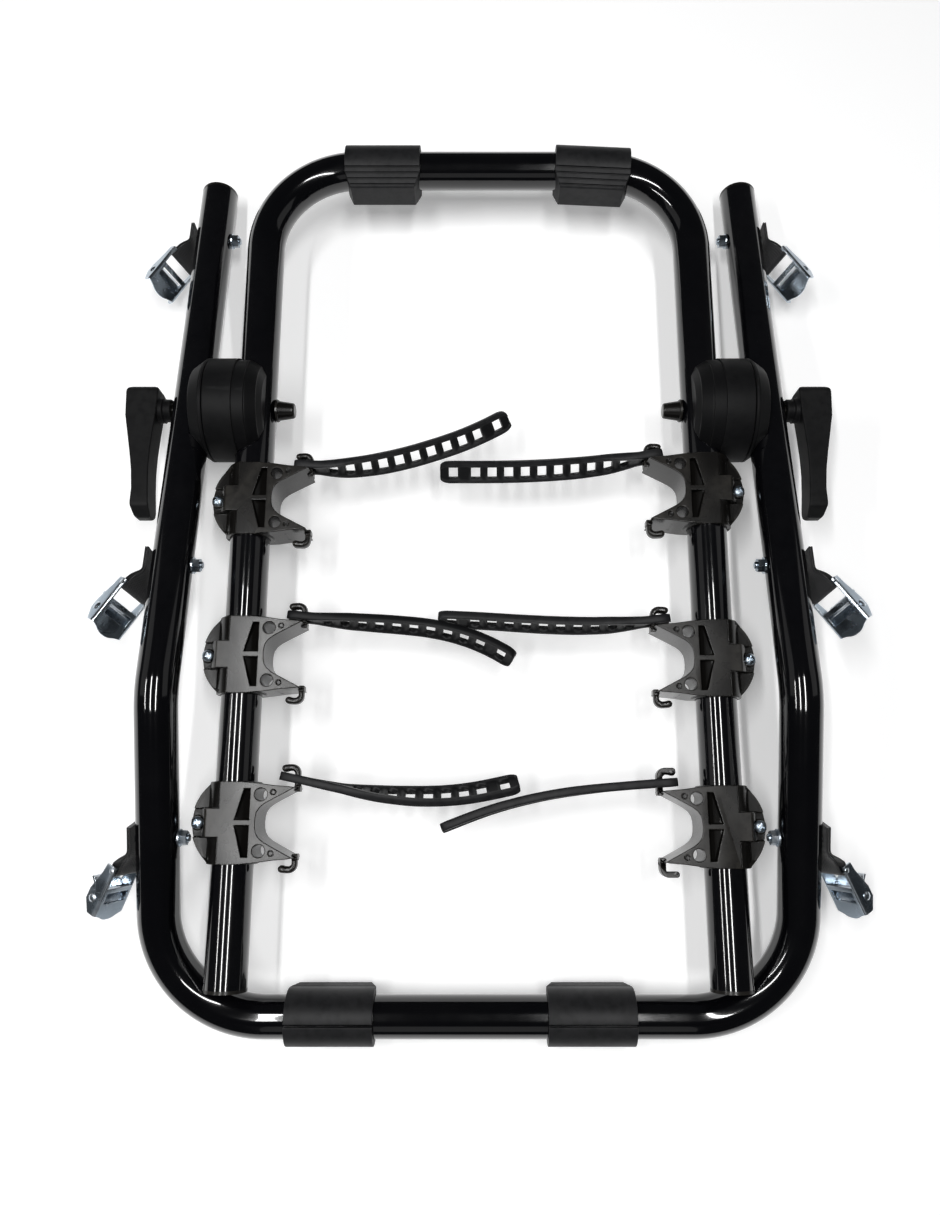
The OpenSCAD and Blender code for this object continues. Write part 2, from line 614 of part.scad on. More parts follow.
// Share of the bending stretch that lies behind u; the first `hold` stays straight and flat
function bent(u, length, hold) = (u - hold) / (length - hold);
function heading(h) = [cos(h), sin(h)];
function walk(way, length, hold) = [for (i = 0, p = [0, 0]; i <= STEPS;
  p = p + length / STEPS
    * heading(pick(way, bent((i + 0.5) / STEPS * length, length, hold))), i = i + 1) p];
function spot(line, length, way, lean, hold, u, v, w) = let (
  q = max(0, min(STEPS - 0.001, u / length * STEPS)), i = floor(q),
  c = line[i] + (q - i) * (line[i + 1] - line[i]), h = pick(way, bent(u, length, hold)),
  a = pick(lean, bent(u, length, hold)), out = v * cos(a) + w * sin(a))
  [c[0] - out * sin(h), c[1] + out * cos(h), w * cos(a) - v * sin(a)];
// Skin over equal rings of points, closed by a face at both ends
module skin(rings) {
  n = len(rings);
  m = len(rings[0]);
  polyhedron(points = [for (r = rings) for (p = r) p],
    faces = concat([[for (j = [m - 1:-1:0]) j]], [[for (j = [0:m - 1]) (n - 1) * m + j]],
      [for (i = [0:n - 2]) for (j = [0:m - 1])
        [i * m + j, i * m + (j + 1) % m, (i + 1) * m + (j + 1) % m]],
      [for (i = [0:n - 2]) for (j = [0:m - 1])
        [i * m + j, (i + 1) * m + (j + 1) % m, (i + 1) * m + j]]), convexity = 8);
}
function taper(u, length) = let (e = min(u, length - u), k = strap_w * 0.42)
  e >= k ? 1 : 0.52 + 0.48 * sqrt(max(0, 1 - (1 - e / k) * (1 - e / k)));
module strap(way, lean) {
  hold = strap_tab + strap_hole;
  line = walk(way, strap_len, hold);
  hw = strap_w / 2;
  ht = strap_t / 2;
  hh = strap_hole_w / 2;
  lip = strap_t * 0.16;
  us = [for (i = [0:26]) let (t = i / 26)
    strap_len * (t < 0.06 ? t * 0.75 : (t > 0.94 ? 1 - (1 - t) * 0.75 : t))];
  sect = [[hh, -ht + lip], [hw - lip, -ht], [hw, -ht + lip * 1.4], [hw, ht - lip * 1.4],
          [hw - lip, ht], [hh, ht - lip]];
  // two rails
  for (s = [-1, 1]) skin([for (u = us) [for (j = [0:5]) let (q = sect[s > 0 ? j : 5 - j])
    spot(line, strap_len, way, lean, hold, u, q[1], s * q[0] * taper(u, strap_len))]]);
  // solid ends and rungs between the holes
  h0 = strap_tab;
  h1 = strap_len - strap_tip;
  holes = concat([h0], [for (i = [0:strap_holes - 1]) strap_tab + strap_end_gap + i * strap_pitch],
    [h1]);
  starts = concat([strap_len * 0.004], [for (h = holes) h + strap_hole / 2]);
  ends = concat([for (h = holes) h - strap_hole / 2], [strap_len * 0.996]);
  for (i = [0:len(starts) - 1]) skin([for (k = [0:2])
    let (u = starts[i] + (ends[i] - starts[i]) * k / 2, t = (hh + lip) * taper(u, strap_len))
    [for (q = [[-t, -ht + lip], [t, -ht + lip], [t, ht - lip], [-t, ht - lip]])
      spot(line, strap_len, way, lean, hold, u, q[1], q[0])]]);
}
// Height of a strap on its hook: its first hole takes the straight part of the hook
strap_y = 32.4 * cu;
module hooked(way) translate([hook_mid, strap_y, 0]) rotate([0, 0, way[0]])
  translate([-strap_tab, 0, 0]) rotate([0, 0, -way[0]]) children();
module strap_left(i) color(RUBBER) stand() on_left(cradle_y_left[i])
  hooked(way_left[i]) strap(way_left[i], lean_left[i]);
module strap_right(i) color(RUBBER) stand() on_right(cradle_y_right[i])
  hooked(way_right[i]) strap(way_right[i], lean_right[i]);
module strap_left_1() strap_left(0);
module strap_left_2() strap_left(1);
module strap_left_3() strap_left(2);
module strap_right_1() strap_right(0);
module strap_right_2() strap_right(1);
module strap_right_3() strap_right(2);

// Hanger bolt across the outer leg, origin on the tube centre, +X outwards
web_gap = free_gap / 4;
web_off = tube_r + 2 * web_gap + web_t;
// middle of one layer from the middle of the pair
web_lay = web_t / 2 + web_gap / 2;
module clip_bolt() {
  head_x = web_off + web_t + 4 * web_gap;
  shank = clip_bolt_d / 2;
  nut_x = -tube_r - washer_t * 0.7;
  tip_x = nut_x - clip_nut_h - clip_end;
  turned([
    [tip_x, 0], [tip_x, shank * 0.8], [tip_x + shank * 0.2, shank],
    [nut_x, shank], [nut_x, clip_nut_d / 2 + washer_t / 2],
    [-tube_r, clip_nut_d / 2 + washer_t / 2], [-tube_r, shank], [head_x, shank],
    [head_x, clip_nut_d / 2], [head_x + washer_t * 0.5, clip_nut_d / 2],
    [head_x + washer_t * 0.5, clip_nut_d * 0.44], [head_x + clip_head * 0.5, clip_nut_d * 0.42],
    [head_x + clip_head * 0.8, clip_nut_d * 0.33], [head_x + clip_head, clip_nut_d * 0.18],
    [head_x + clip_head * 1.04, 0]]);
  translate([nut_x - clip_nut_h, 0, 0]) rotate([90, 0, 90])
    linear_extrude(clip_nut_h + washer_t * 0.1) circle(d = clip_nut_d, $fn = 6);
}
// Webbing path: the heading turns outwards while the band leans
bight_r = bar_r + 2 * free_gap + web_t / 2;
web_hold = web_tail + clip_nut_d / 2 + free_gap;
function web_way(turn) = [0, turn, turn, turn, turn];
function web_lean(lean) = [0, lean * 0.15, lean * 0.65, lean, lean];
function web_total() = web_tail + web_len;
// [x, y, z] of a point of the band in the frame of the hanger bolt; u runs towards -Y
function web_spot(line, turn, lean, u, v, w) = let (
  q = spot(line, web_total(), web_way(turn), web_lean(lean), web_hold, u, v, w))
  [web_off + q[1], web_tail - q[0], q[2]];
module clip_loop(turn, lean) {
  line = walk(web_way(turn), web_total(), web_hold);
  full = web_total();
  // offset of the two layers from the middle: together at the bolt, open at the bar
  n = 12;
  outer_leg = [for (i = [0:n]) let (t = i / n, u = full * t,
    o = web_lay + (bight_r - web_lay) * max(0, min(1, (t - 0.55) / 0.33))) [u, o]];
  turn_round = [for (a = [15:15:165]) [full + bight_r * sin(a), bight_r * cos(a)]];
  inner_leg_pts = [for (i = [n:-1:0]) [outer_leg[i][0], -outer_leg[i][1]]];
  mid = concat(outer_leg, turn_round, inner_leg_pts);
  m = len(mid);
  difference() {
    skin([for (i = [0:m - 1]) let (
      a = mid[max(0, i - 1)], b = mid[min(m - 1, i + 1)], d = (b - a) / norm(b - a),
      nn = [-d[1], d[0]] * web_t / 2, hw = web_w / 2)
      [for (c = [[1, hw], [1, -hw], [-1, -hw], [-1, hw]])
        let (uv = mid[i] + c[0] * nn) web_far(line, turn, lean, uv[0], uv[1], c[1])]]);
    rod_x(clip_bolt_d / 2 + seat, -over, over + web_off);
  }
}
// Points beyond the end of the walked line carry on straight
function web_far(line, turn, lean, u, v, w) = u <= web_total() ?
  web_spot(line, turn, lean, u, v, w) :
  web_spot(line, turn, lean, web_total(), v, w) + (u - web_total()) * [sin(turn), -cos(turn), 0];
function bar_at(turn) = let (line = walk(web_way(turn), web_total(), web_hold), e = line[STEPS])
  [web_off + e[1], web_tail - e[0], 0];

// Buckle in its own frame: origin on the bar, long axis -Y, +X is the back of the base plate
back_x = -bar_r;
module side_wall() {
  // seen along the bar
  polygon([[back_x + 2 * bar_r, 3.4 * bu], [back_x + 2 * bar_r, -37 * bu],
           [back_x + 2 * bar_r - 8 * bu, -37 * bu], [back_x + 2 * bar_r - buckle_h, -28 * bu],
           [back_x + 2 * bar_r - buckle_h, -20 * bu], [back_x + 2 * bar_r - 9 * bu, -4 * bu],
           [back_x + 2 * bar_r - 8 * bu, 3.4 * bu]]);
}
module buckle() {
  hw = buckle_w / 2;
  plate_x = bar_r;
  // base plate with a webbing window and a cam opening, rounded at its end
  translate([plate_x, 0, 0]) rotate([0, -90, 0]) linear_extrude(sheet_t) difference() {
    union() {
      translate([-hw, -37 * bu]) square([buckle_w, 37 * bu + 1.4 * bar_r]);
      translate([0, -27 * bu]) intersection() {
        circle(r = hw * 0.96, $fn = 96);
        translate([-hw, -2 * hw]) square([buckle_w, 2 * hw]);
      }
    }
    translate([-web_w / 2 - free_gap, -14.5 * bu])
      square([web_w + 2 * free_gap, 14.5 * bu - 0.15 * bar_r]);
    translate([-hw + 2.4 * sheet_t, -27 * bu]) square([buckle_w - 4.8 * sheet_t, 8.5 * bu]);
  }
  for (s = [-1, 1]) translate([0, 0, s > 0 ? hw - sheet_t : -hw]) linear_extrude(sheet_t)
    side_wall();
  // bar for the webbing and pin for the cam
  translate([0, 0, -hw + sheet_t / 2]) cylinder(r = bar_r, h = buckle_w - sheet_t, $fn = 48);
  translate([plate_x - pin_drop, -pin_at, -hw - sheet_t / 2])
    cylinder(r = pin_r, h = buckle_w + sheet_t, $fn = 48);
}
pin_drop = sheet_t + cam_r + free_gap;
module cam() {
  hw = buckle_w / 2 - sheet_t - free_gap;
  translate([bar_r - pin_drop, -pin_at, -hw]) difference() {
    union() {
      cylinder(r = cam_r - free_gap, h = 2 * hw, $fn = 96);
      // teeth towards the base plate
      for (a = [-40:16:40]) rotate([0, 0, a]) translate([cam_r - 1.6 * free_gap, 0, hw * 0.25])
        rotate([0, 0, 45]) translate([-cam_r * 0.11, -cam_r * 0.11, 0])
          cube([cam_r * 0.22, cam_r * 0.22, hw * 1.5]);
      // thumb plate leaning away from the base plate
      rotate([0, 0, 128]) translate([0, -sheet_t / 2 - pin_r * 0.6, 0])
        cube([thumb_len, sheet_t, 2 * hw]);
    }
    translate([0, 0, -hw]) cylinder(r = pin_r + run, h = 4 * hw, $fn = 48);
  }
}
module on_clip(i, turn, lean) clip_place(i, 1) translate(bar_at(turn))
  rotate([0, 0, turn]) rotate([0, lean, 0]) mirror([1, 0, 0]) children();
module clip_node(i, side) { if (side < 0) right() clip_place(i, 1) children();
  else clip_place(i, 1) children(); }
module buckle_node(i, side) {
  if (side < 0) right() on_clip(i, clip_head_left[i], clip_lean_left[i]) children();
  else on_clip(i, clip_head_right[i], clip_lean_right[i]) children();
}
module bolt_node(i, side) color(ZINC) stand() clip_node(i, side) clip_bolt();
module loop_node(i, side) color(WEB) stand() clip_node(i, side)
  clip_loop(side < 0 ? clip_head_left[i] : clip_head_right[i],
    side < 0 ? clip_lean_left[i] : clip_lean_right[i]);
module clip_bolt_left_1() bolt_node(0, -1);
module clip_bolt_left_2() bolt_node(1, -1);
module clip_bolt_left_3() bolt_node(2, -1);
module clip_bolt_right_1() bolt_node(0, 1);
module clip_bolt_right_2() bolt_node(1, 1);
module clip_bolt_right_3() bolt_node(2, 1);
module clip_loop_left_1() loop_node(0, -1);
module clip_loop_left_2() loop_node(1, -1);
module clip_loop_left_3() loop_node(2, -1);
module clip_loop_right_1() loop_node(0, 1);
module clip_loop_right_2() loop_node(1, 1);
module clip_loop_right_3() loop_node(2, 1);
module buckle_left_1() color(ZINC) stand() buckle_node(0, -1) buckle();
module buckle_left_2() color(ZINC) stand() buckle_node(1, -1) buckle();
module buckle_left_3() color(ZINC) stand() buckle_node(2, -1) buckle();
module buckle_right_1() color(ZINC) stand() buckle_node(0, 1) buckle();
module buckle_right_2() color(ZINC) stand() buckle_node(1, 1) buckle();
module buckle_right_3() color(ZINC) stand() buckle_node(2, 1) buckle();
module cam_left_1() color(ZINC) stand() buckle_node(0, -1) cam();
module cam_left_2() color(ZINC) stand() buckle_node(1, -1) cam();
module cam_left_3() color(ZINC) stand() buckle_node(2, -1) cam();
module cam_right_1() color(ZINC) stand() buckle_node(0, 1) cam();
module cam_right_2() color(ZINC) stand() buckle_node(1, 1) cam();
module cam_right_3() color(ZINC) stand() buckle_node(2, 1) cam();

outer_frame();
outer_plug_left();
outer_plug_right();
hub_outer_left();
hub_outer_right();
pivot_bolt_left();
pivot_bolt_right();
pad_bottom_left();
pad_bottom_right();
clip_bolt_left_1();
clip_bolt_left_2();
clip_bolt_left_3();
clip_bolt_right_1();
clip_bolt_right_2();
clip_bolt_right_3();
clip_loop_left_1();
clip_loop_left_2();
clip_loop_left_3();
clip_loop_right_1();
clip_loop_right_2();
clip_loop_right_3();
buckle_left_1();
buckle_left_2();
buckle_left_3();
buckle_right_1();
buckle_right_2();
buckle_right_3();
cam_left_1();
cam_left_2();
cam_left_3();
cam_right_1();
cam_right_2();
cam_right_3();
inner_frame();
inner_plug_left();
inner_plug_right();
hub_inner_left();
hub_inner_right();
pad_top_left();
pad_top_right();
lever_left();
lever_right();
cradle_left_1();
cradle_left_2();
cradle_left_3();
cradle_right_1();
cradle_right_2();
cradle_right_3();
screw_left_1();
screw_left_2();
screw_left_3();
screw_right_1();
screw_right_2();
screw_right_3();
strap_left_1();
strap_left_2();
strap_left_3();
strap_right_1();
strap_right_2();
strap_right_3();
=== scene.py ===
"""Folding trunk bike rack, laid flat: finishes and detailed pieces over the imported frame."""

import json
import logging
import math
from dataclasses import dataclass, field
from enum import Enum
from typing import Callable, Iterable, Sequence

import bmesh
import bpy
from bmesh.types import BMesh, BMFace, BMVert
from mathutils import Matrix, Vector
from mathutils.bvhtree import BVHTree

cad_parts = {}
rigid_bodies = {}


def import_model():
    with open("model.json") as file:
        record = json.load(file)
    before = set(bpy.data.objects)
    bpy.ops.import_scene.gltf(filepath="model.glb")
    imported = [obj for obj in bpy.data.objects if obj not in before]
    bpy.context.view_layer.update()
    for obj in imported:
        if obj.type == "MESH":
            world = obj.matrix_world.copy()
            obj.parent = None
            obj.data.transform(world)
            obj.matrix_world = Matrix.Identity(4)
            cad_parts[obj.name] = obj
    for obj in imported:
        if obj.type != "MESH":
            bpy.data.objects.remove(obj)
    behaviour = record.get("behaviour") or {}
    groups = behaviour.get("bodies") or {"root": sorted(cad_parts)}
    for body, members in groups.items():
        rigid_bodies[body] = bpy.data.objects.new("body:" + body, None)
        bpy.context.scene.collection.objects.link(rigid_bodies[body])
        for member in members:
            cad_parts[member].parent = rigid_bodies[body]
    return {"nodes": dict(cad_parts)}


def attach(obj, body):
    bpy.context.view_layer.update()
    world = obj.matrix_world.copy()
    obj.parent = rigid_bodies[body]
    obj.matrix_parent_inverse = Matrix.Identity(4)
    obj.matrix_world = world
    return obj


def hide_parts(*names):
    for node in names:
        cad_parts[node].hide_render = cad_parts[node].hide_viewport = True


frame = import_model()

log = logging.getLogger("bike_rack")

MM = 0.001
# Middle of the hinge line over the ground, in millimetres
HINGE = Matrix.Translation((0.0, 125.465, 55.244))


class Side(Enum):
    """Which half of the rack a piece belongs to; the value is the sign of X."""

    LEFT = -1
    RIGHT = 1

    @property
    def word(self) -> str:
        """The side's word in the node and body names."""
        return self.name.lower()


class Slot(Enum):
    """The record's material slots."""

    PAINT = "frame_paint"
    PLASTIC = "black_plastic"
    RUBBER = "black_rubber"
    ZINC = "zinc_steel"
    WEBBING = "black_webbing"


# ---------------------------------------------------------------- small geometry


def turned(degrees: float, axis: str) -> Matrix:
    """A turn about one axis, as a 4x4.

    Args:
        degrees: The angle, by the right-hand rule.
        axis: "X", "Y" or "Z".

    Returns:
        The rotation matrix.
    """
    return Matrix.Rotation(math.radians(degrees), 4, axis)


def moved(x: float, y: float, z: float) -> Matrix:
    """A shift in millimetres, as a 4x4."""
    return Matrix.Translation((x, y, z))


def flipped() -> Matrix:
    """A mirror in the middle plane of the rack, as a 4x4."""
    return Matrix.Diagonal((-1.0, 1.0, 1.0, 1.0))


def close_up(bm: BMesh, gap: float = 0.004) -> None:
    """Merges doubled points and points every face outwards.

    Args:
        bm: The mesh, in millimetres.
        gap: Points nearer than this become one.
    """
    bmesh.ops.remove_doubles(bm, verts=bm.verts[:], dist=gap)
    bmesh.ops.recalc_face_normals(bm, faces=bm.faces[:])


def round_edges(bm: BMesh, width: float, segments: int = 2, angle: float = 50.0) -> None:
    """Bevels the edges whose faces meet at more than an angle, and draws back what overshoots.

    Args:
        bm: The mesh, in millimetres.
        width: How far the bevel reaches from the edge.
        segments: Faces across the bevel.
        angle: The least angle between two faces that is bevelled, in degrees.
    """
    limit = math.radians(angle)
    sharp = [e for e in bm.edges if e.is_manifold and e.calc_face_angle(0.0) > limit]
    skin = BVHTree.FromBMesh(bm)
    bmesh.ops.bevel(
        bm,
        geom=sharp,
        offset=width,
        offset_type="OFFSET",
        affect="EDGES",
        segments=segments,
        profile=0.5,
        clamp_overlap=False,
        material=-1,
    )
    for v in bm.verts:
        spot, _, _, away = skin.find_nearest(v.co)
        if away > 0.45 * width:
            v.co = spot
    bmesh.ops.remove_doubles(bm, verts=bm.verts[:], dist=0.01)
    bmesh.ops.dissolve_degenerate(bm, edges=bm.edges[:], dist=0.005)


def new_piece(
    name: str, bm: BMesh, place: Matrix, finish: bpy.types.Material, smooth: float = 50.0
) -> bpy.types.Object:
    """Makes an object at the origin from a mesh drawn in millimetres.

    Args:
        name: The piece's name.
        bm: The mesh; it is freed.
        place: Where the mesh goes in the row frame, in millimetres.
        finish: Its material.
        smooth: Edges sharper than this many degrees keep a crease.

    Returns:
        The new object, with its place in its mesh.
    """
    bm.transform(Matrix.Scale(MM, 4) @ place)
    if place.determinant() < 0:
        bmesh.ops.reverse_faces(bm, faces=bm.faces[:])
    for face in bm.faces:
        face.smooth = True
    mesh = bpy.data.meshes.new(name)
    bm.to_mesh(mesh)
    bm.free()
    mesh.set_sharp_from_angle(angle=math.radians(smooth))
    mesh.materials.append(finish)
    obj = bpy.data.objects.new(name, mesh)
    bpy.context.scene.collection.objects.link(obj)
    even = obj.modifiers.new("even", "WEIGHTED_NORMAL")
    even.keep_sharp = True
    even.weight = 100
    return obj


def fit(obj: bpy.types.Object, body: str, nodes: Sequence[str]) -> bpy.types.Object:
    """Lets a new piece ride on its body and stand for its CAD nodes.

    Args:
        obj: The new piece.
        body: The CAD body it moves with.
        nodes: The CAD nodes it replaces.

    Returns:
        The same object.
    """
    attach(obj, body)
    if nodes:
        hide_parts(*nodes)
    log.info("%s rides on %s, %d faces", obj.name, body, len(obj.data.polygons))
    return obj


# ---------------------------------------------------------------- shader groups


@dataclass
class Graph:
    """A node tree with short calls for adding and joining nodes."""

    tree: bpy.types.NodeTree

    def add(self, kind: str, inputs: dict | None = None, **settings: object) -> bpy.types.Node:
        """Adds one node.

        Args:
            kind: The node's type name.
            inputs: Values or output sockets by input name or number.
            **settings: Attributes of the node.

        Returns:
            The new node.
        """
        node = self.tree.nodes.new(kind)
        for key, value in settings.items():
            setattr(node, key, value)
        for key, value in (inputs or {}).items():
            if isinstance(value, bpy.types.NodeSocket):
                self.tree.links.new(value, node.inputs[key])
            else:
                node.inputs[key].default_value = value
        return node

    def maths(self, operation: str, a: object, b: object = 0.0, clamp: bool = False) -> bpy.types.NodeSocket:
        """A Math node's output.

        Args:
            operation: The node's operation.
            a: First value or socket.
            b: Second value or socket.
            clamp: Whether the result stays between 0 and 1.

        Returns:
            The value socket.
        """
        return self.add("ShaderNodeMath", {0: a, 1: b}, operation=operation, use_clamp=clamp).outputs[0]

    def spread(self, value: object, low: float, high: float, to_low: float, to_high: float) -> bpy.types.NodeSocket:
        """A clamped Map Range node's output.

        Args:
            value: The socket to map.
            low: The value that becomes to_low.
            high: The value that becomes to_high.
            to_low: Result at low.
            to_high: Result at high.

        Returns:
            The value socket.
        """
        inputs = {0: value, 1: low, 2: high, 3: to_low, 4: to_high}
        return self.add("ShaderNodeMapRange", inputs, interpolation_type="SMOOTHSTEP").outputs[0]


def new_group(name: str, ins: dict[str, object], outs: Sequence[str]) -> tuple[Graph, bpy.types.Node, bpy.types.Node]:
    """Starts a shader node group.

    Args:
        name: The group's name.
        ins: Input names with a default; a tuple makes a vector socket.
        outs: Output names, each a value.

    Returns:
        The graph, its input node and its output node.
    """
    tree = bpy.data.node_groups.new(name, "ShaderNodeTree")
    for key, value in ins.items():
        kind = "NodeSocketVector" if isinstance(value, tuple) else "NodeSocketFloat"
        socket = tree.interface.new_socket(name=key, in_out="INPUT", socket_type=kind)
        socket.default_value = value
    for key in outs:
        tree.interface.new_socket(name=key, in_out="OUTPUT", socket_type="NodeSocketFloat")
    graph = Graph(tree)
    return graph, graph.add("NodeGroupInput"), graph.add("NodeGroupOutput")


class Effects:
    """The shader groups that the rack's materials share."""

    def __init__(self) -> None:
        """Builds each group once."""
        self.grain = self._grain()
        self.scuffs = self._scuffs()
        self.edges = self._edges()
        self.dust = self._dust()
        self.weave = self._weave()

    @staticmethod
    def _grain() -> bpy.types.NodeTree:
        """Fine moulded or sprayed grain: a height and a slow patchiness."""
        g, start, end = new_group("surface_grain", {"Vector": (0.0, 0.0, 0.0), "Scale": 900.0}, ("Height", "Patch"))
        fine = g.add(
            "ShaderNodeTexNoise",
            {"Vector": start.outputs["Vector"], "Scale": start.outputs["Scale"], "Detail": 3.0, "Roughness": 0.55},
        )
        pits = g.add(
            "ShaderNodeTexVoronoi",
            {"Vector": start.outputs["Vector"], "Scale": g.maths("MULTIPLY", start.outputs["Scale"], 0.6)},
        )
        height = g.maths("ADD", g.maths("MULTIPLY", fine.outputs[0], 0.7), g.maths("MULTIPLY", pits.outputs[0], 0.3))
        slow = g.add("ShaderNodeTexNoise", {"Vector": start.outputs["Vector"], "Scale": 22.0, "Detail": 4.0})
        g.tree.links.new(height, end.inputs["Height"])
        g.tree.links.new(g.spread(slow.outputs[0], 0.35, 0.7, 0.0, 1.0), end.inputs["Patch"])
        return g.tree

    @staticmethod
    def _scuffs() -> bpy.types.NodeTree:
        """Thin rubbed lines in two directions."""
        g, start, end = new_group("rubbed_lines", {"Vector": (0.0, 0.0, 0.0), "Amount": 0.3}, ("Mask",))
        masks = []
        for turn, long_axis in ((0.5, (700.0, 16.0, 260.0)), (-0.35, (40.0, 800.0, 120.0))):
            way = g.add(
                "ShaderNodeMapping",
                {"Vector": start.outputs["Vector"], "Rotation": (0.2, 0.1, turn), "Scale": long_axis},
            )
            lines = g.add("ShaderNodeTexNoise", {"Vector": way.outputs[0], "Scale": 1.0, "Detail": 2.0})
            masks.append(g.spread(lines.outputs[0], 0.66, 0.74, 0.0, 1.0))
        where = g.add("ShaderNodeTexNoise", {"Vector": start.outputs["Vector"], "Scale": 14.0, "Detail": 2.0})
        both = g.maths("MAXIMUM", masks[0], masks[1])
        kept = g.maths("MULTIPLY", both, g.spread(where.outputs[0], 0.45, 0.62, 0.0, 1.0))
        g.tree.links.new(g.maths("MULTIPLY", kept, start.outputs["Amount"], True), end.inputs["Mask"])
        return g.tree

    @staticmethod
    def _edges() -> bpy.types.NodeTree:
        """Where an edge is lighter, from the curve of the surface: partly rubbing, partly a painted highlight on
        rounded edges.
        """
        g, start, end = new_group("edge_wear", {"Vector": (0.0, 0.0, 0.0), "Amount": 0.5}, ("Mask",))
        bend = g.add("ShaderNodeNewGeometry").outputs["Pointiness"]
        breaks = g.add("ShaderNodeTexNoise", {"Vector": start.outputs["Vector"], "Scale": 160.0, "Detail": 4.0})
        edge = g.spread(bend, 0.505, 0.56, 0.0, 1.0)
        mask = g.maths("MULTIPLY", edge, g.spread(breaks.outputs[0], 0.3, 0.6, 0.35, 1.0))
        g.tree.links.new(g.maths("MULTIPLY", mask, start.outputs["Amount"], True), end.inputs["Mask"])
        return g.tree

    @staticmethod
    def _dust() -> bpy.types.NodeTree:
        """A little dust on what faces up, thicker in slow clouds."""
        g, start, end = new_group("settled_dust", {"Vector": (0.0, 0.0, 0.0), "Amount": 0.2}, ("Mask",))
        up = g.add("ShaderNodeSeparateXYZ", {0: g.add("ShaderNodeNewGeometry").outputs["Normal"]}).outputs["Z"]
        cloud = g.add("ShaderNodeTexNoise", {"Vector": start.outputs["Vector"], "Scale": 35.0, "Detail": 6.0})
        mask = g.maths("MULTIPLY", g.spread(up, 0.2, 1.0, 0.0, 1.0), g.spread(cloud.outputs[0], 0.4, 0.75, 0.0, 1.0))
        g.tree.links.new(g.maths("MULTIPLY", mask, start.outputs["Amount"], True), end.inputs["Mask"])
        return g.tree

    @staticmethod
    def _weave() -> bpy.types.NodeTree:
        """Plain woven webbing in the piece's own UV map, both in millimetres."""
        g, start, end = new_group("webbing_weave", {"Vector": (0.0, 0.0, 0.0), "Rib": 1.5, "Wale": 2.0}, ("Height", "Shade"))
        parts = g.add("ShaderNodeSeparateXYZ", {0: start.outputs["Vector"]})
        across = g.maths("DIVIDE", parts.outputs["Y"], start.outputs["Wale"])
        lane = g.maths("MULTIPLY", g.maths("FRACT", g.maths("MULTIPLY", across, 0.5)), 2.0)
        shift = g.maths("MULTIPLY", g.maths("GREATER_THAN", lane, 1.0), 0.5)
        along = g.maths("ADD", g.maths("DIVIDE", parts.outputs["X"], start.outputs["Rib"]), shift)
        rib = g.maths("ABSOLUTE", g.maths("SINE", g.maths("MULTIPLY", along, math.pi)))
        wale = g.maths("ABSOLUTE", g.maths("SINE", g.maths("MULTIPLY", across, math.pi)))
        height = g.maths("MULTIPLY", g.maths("POWER", rib, 0.6), g.maths("POWER", wale, 0.5))
        fuzz = g.add("ShaderNodeTexNoise", {"Vector": start.outputs["Vector"], "Scale": 3.0, "Detail": 3.0})
        g.tree.links.new(g.maths("ADD", height, g.maths("MULTIPLY", fuzz.outputs[0], 0.25)), end.inputs["Height"])
        g.tree.links.new(g.maths("MULTIPLY", height, fuzz.outputs[0], True), end.inputs["Shade"])
        return g.tree


# ---------------------------------------------------------------- finishes


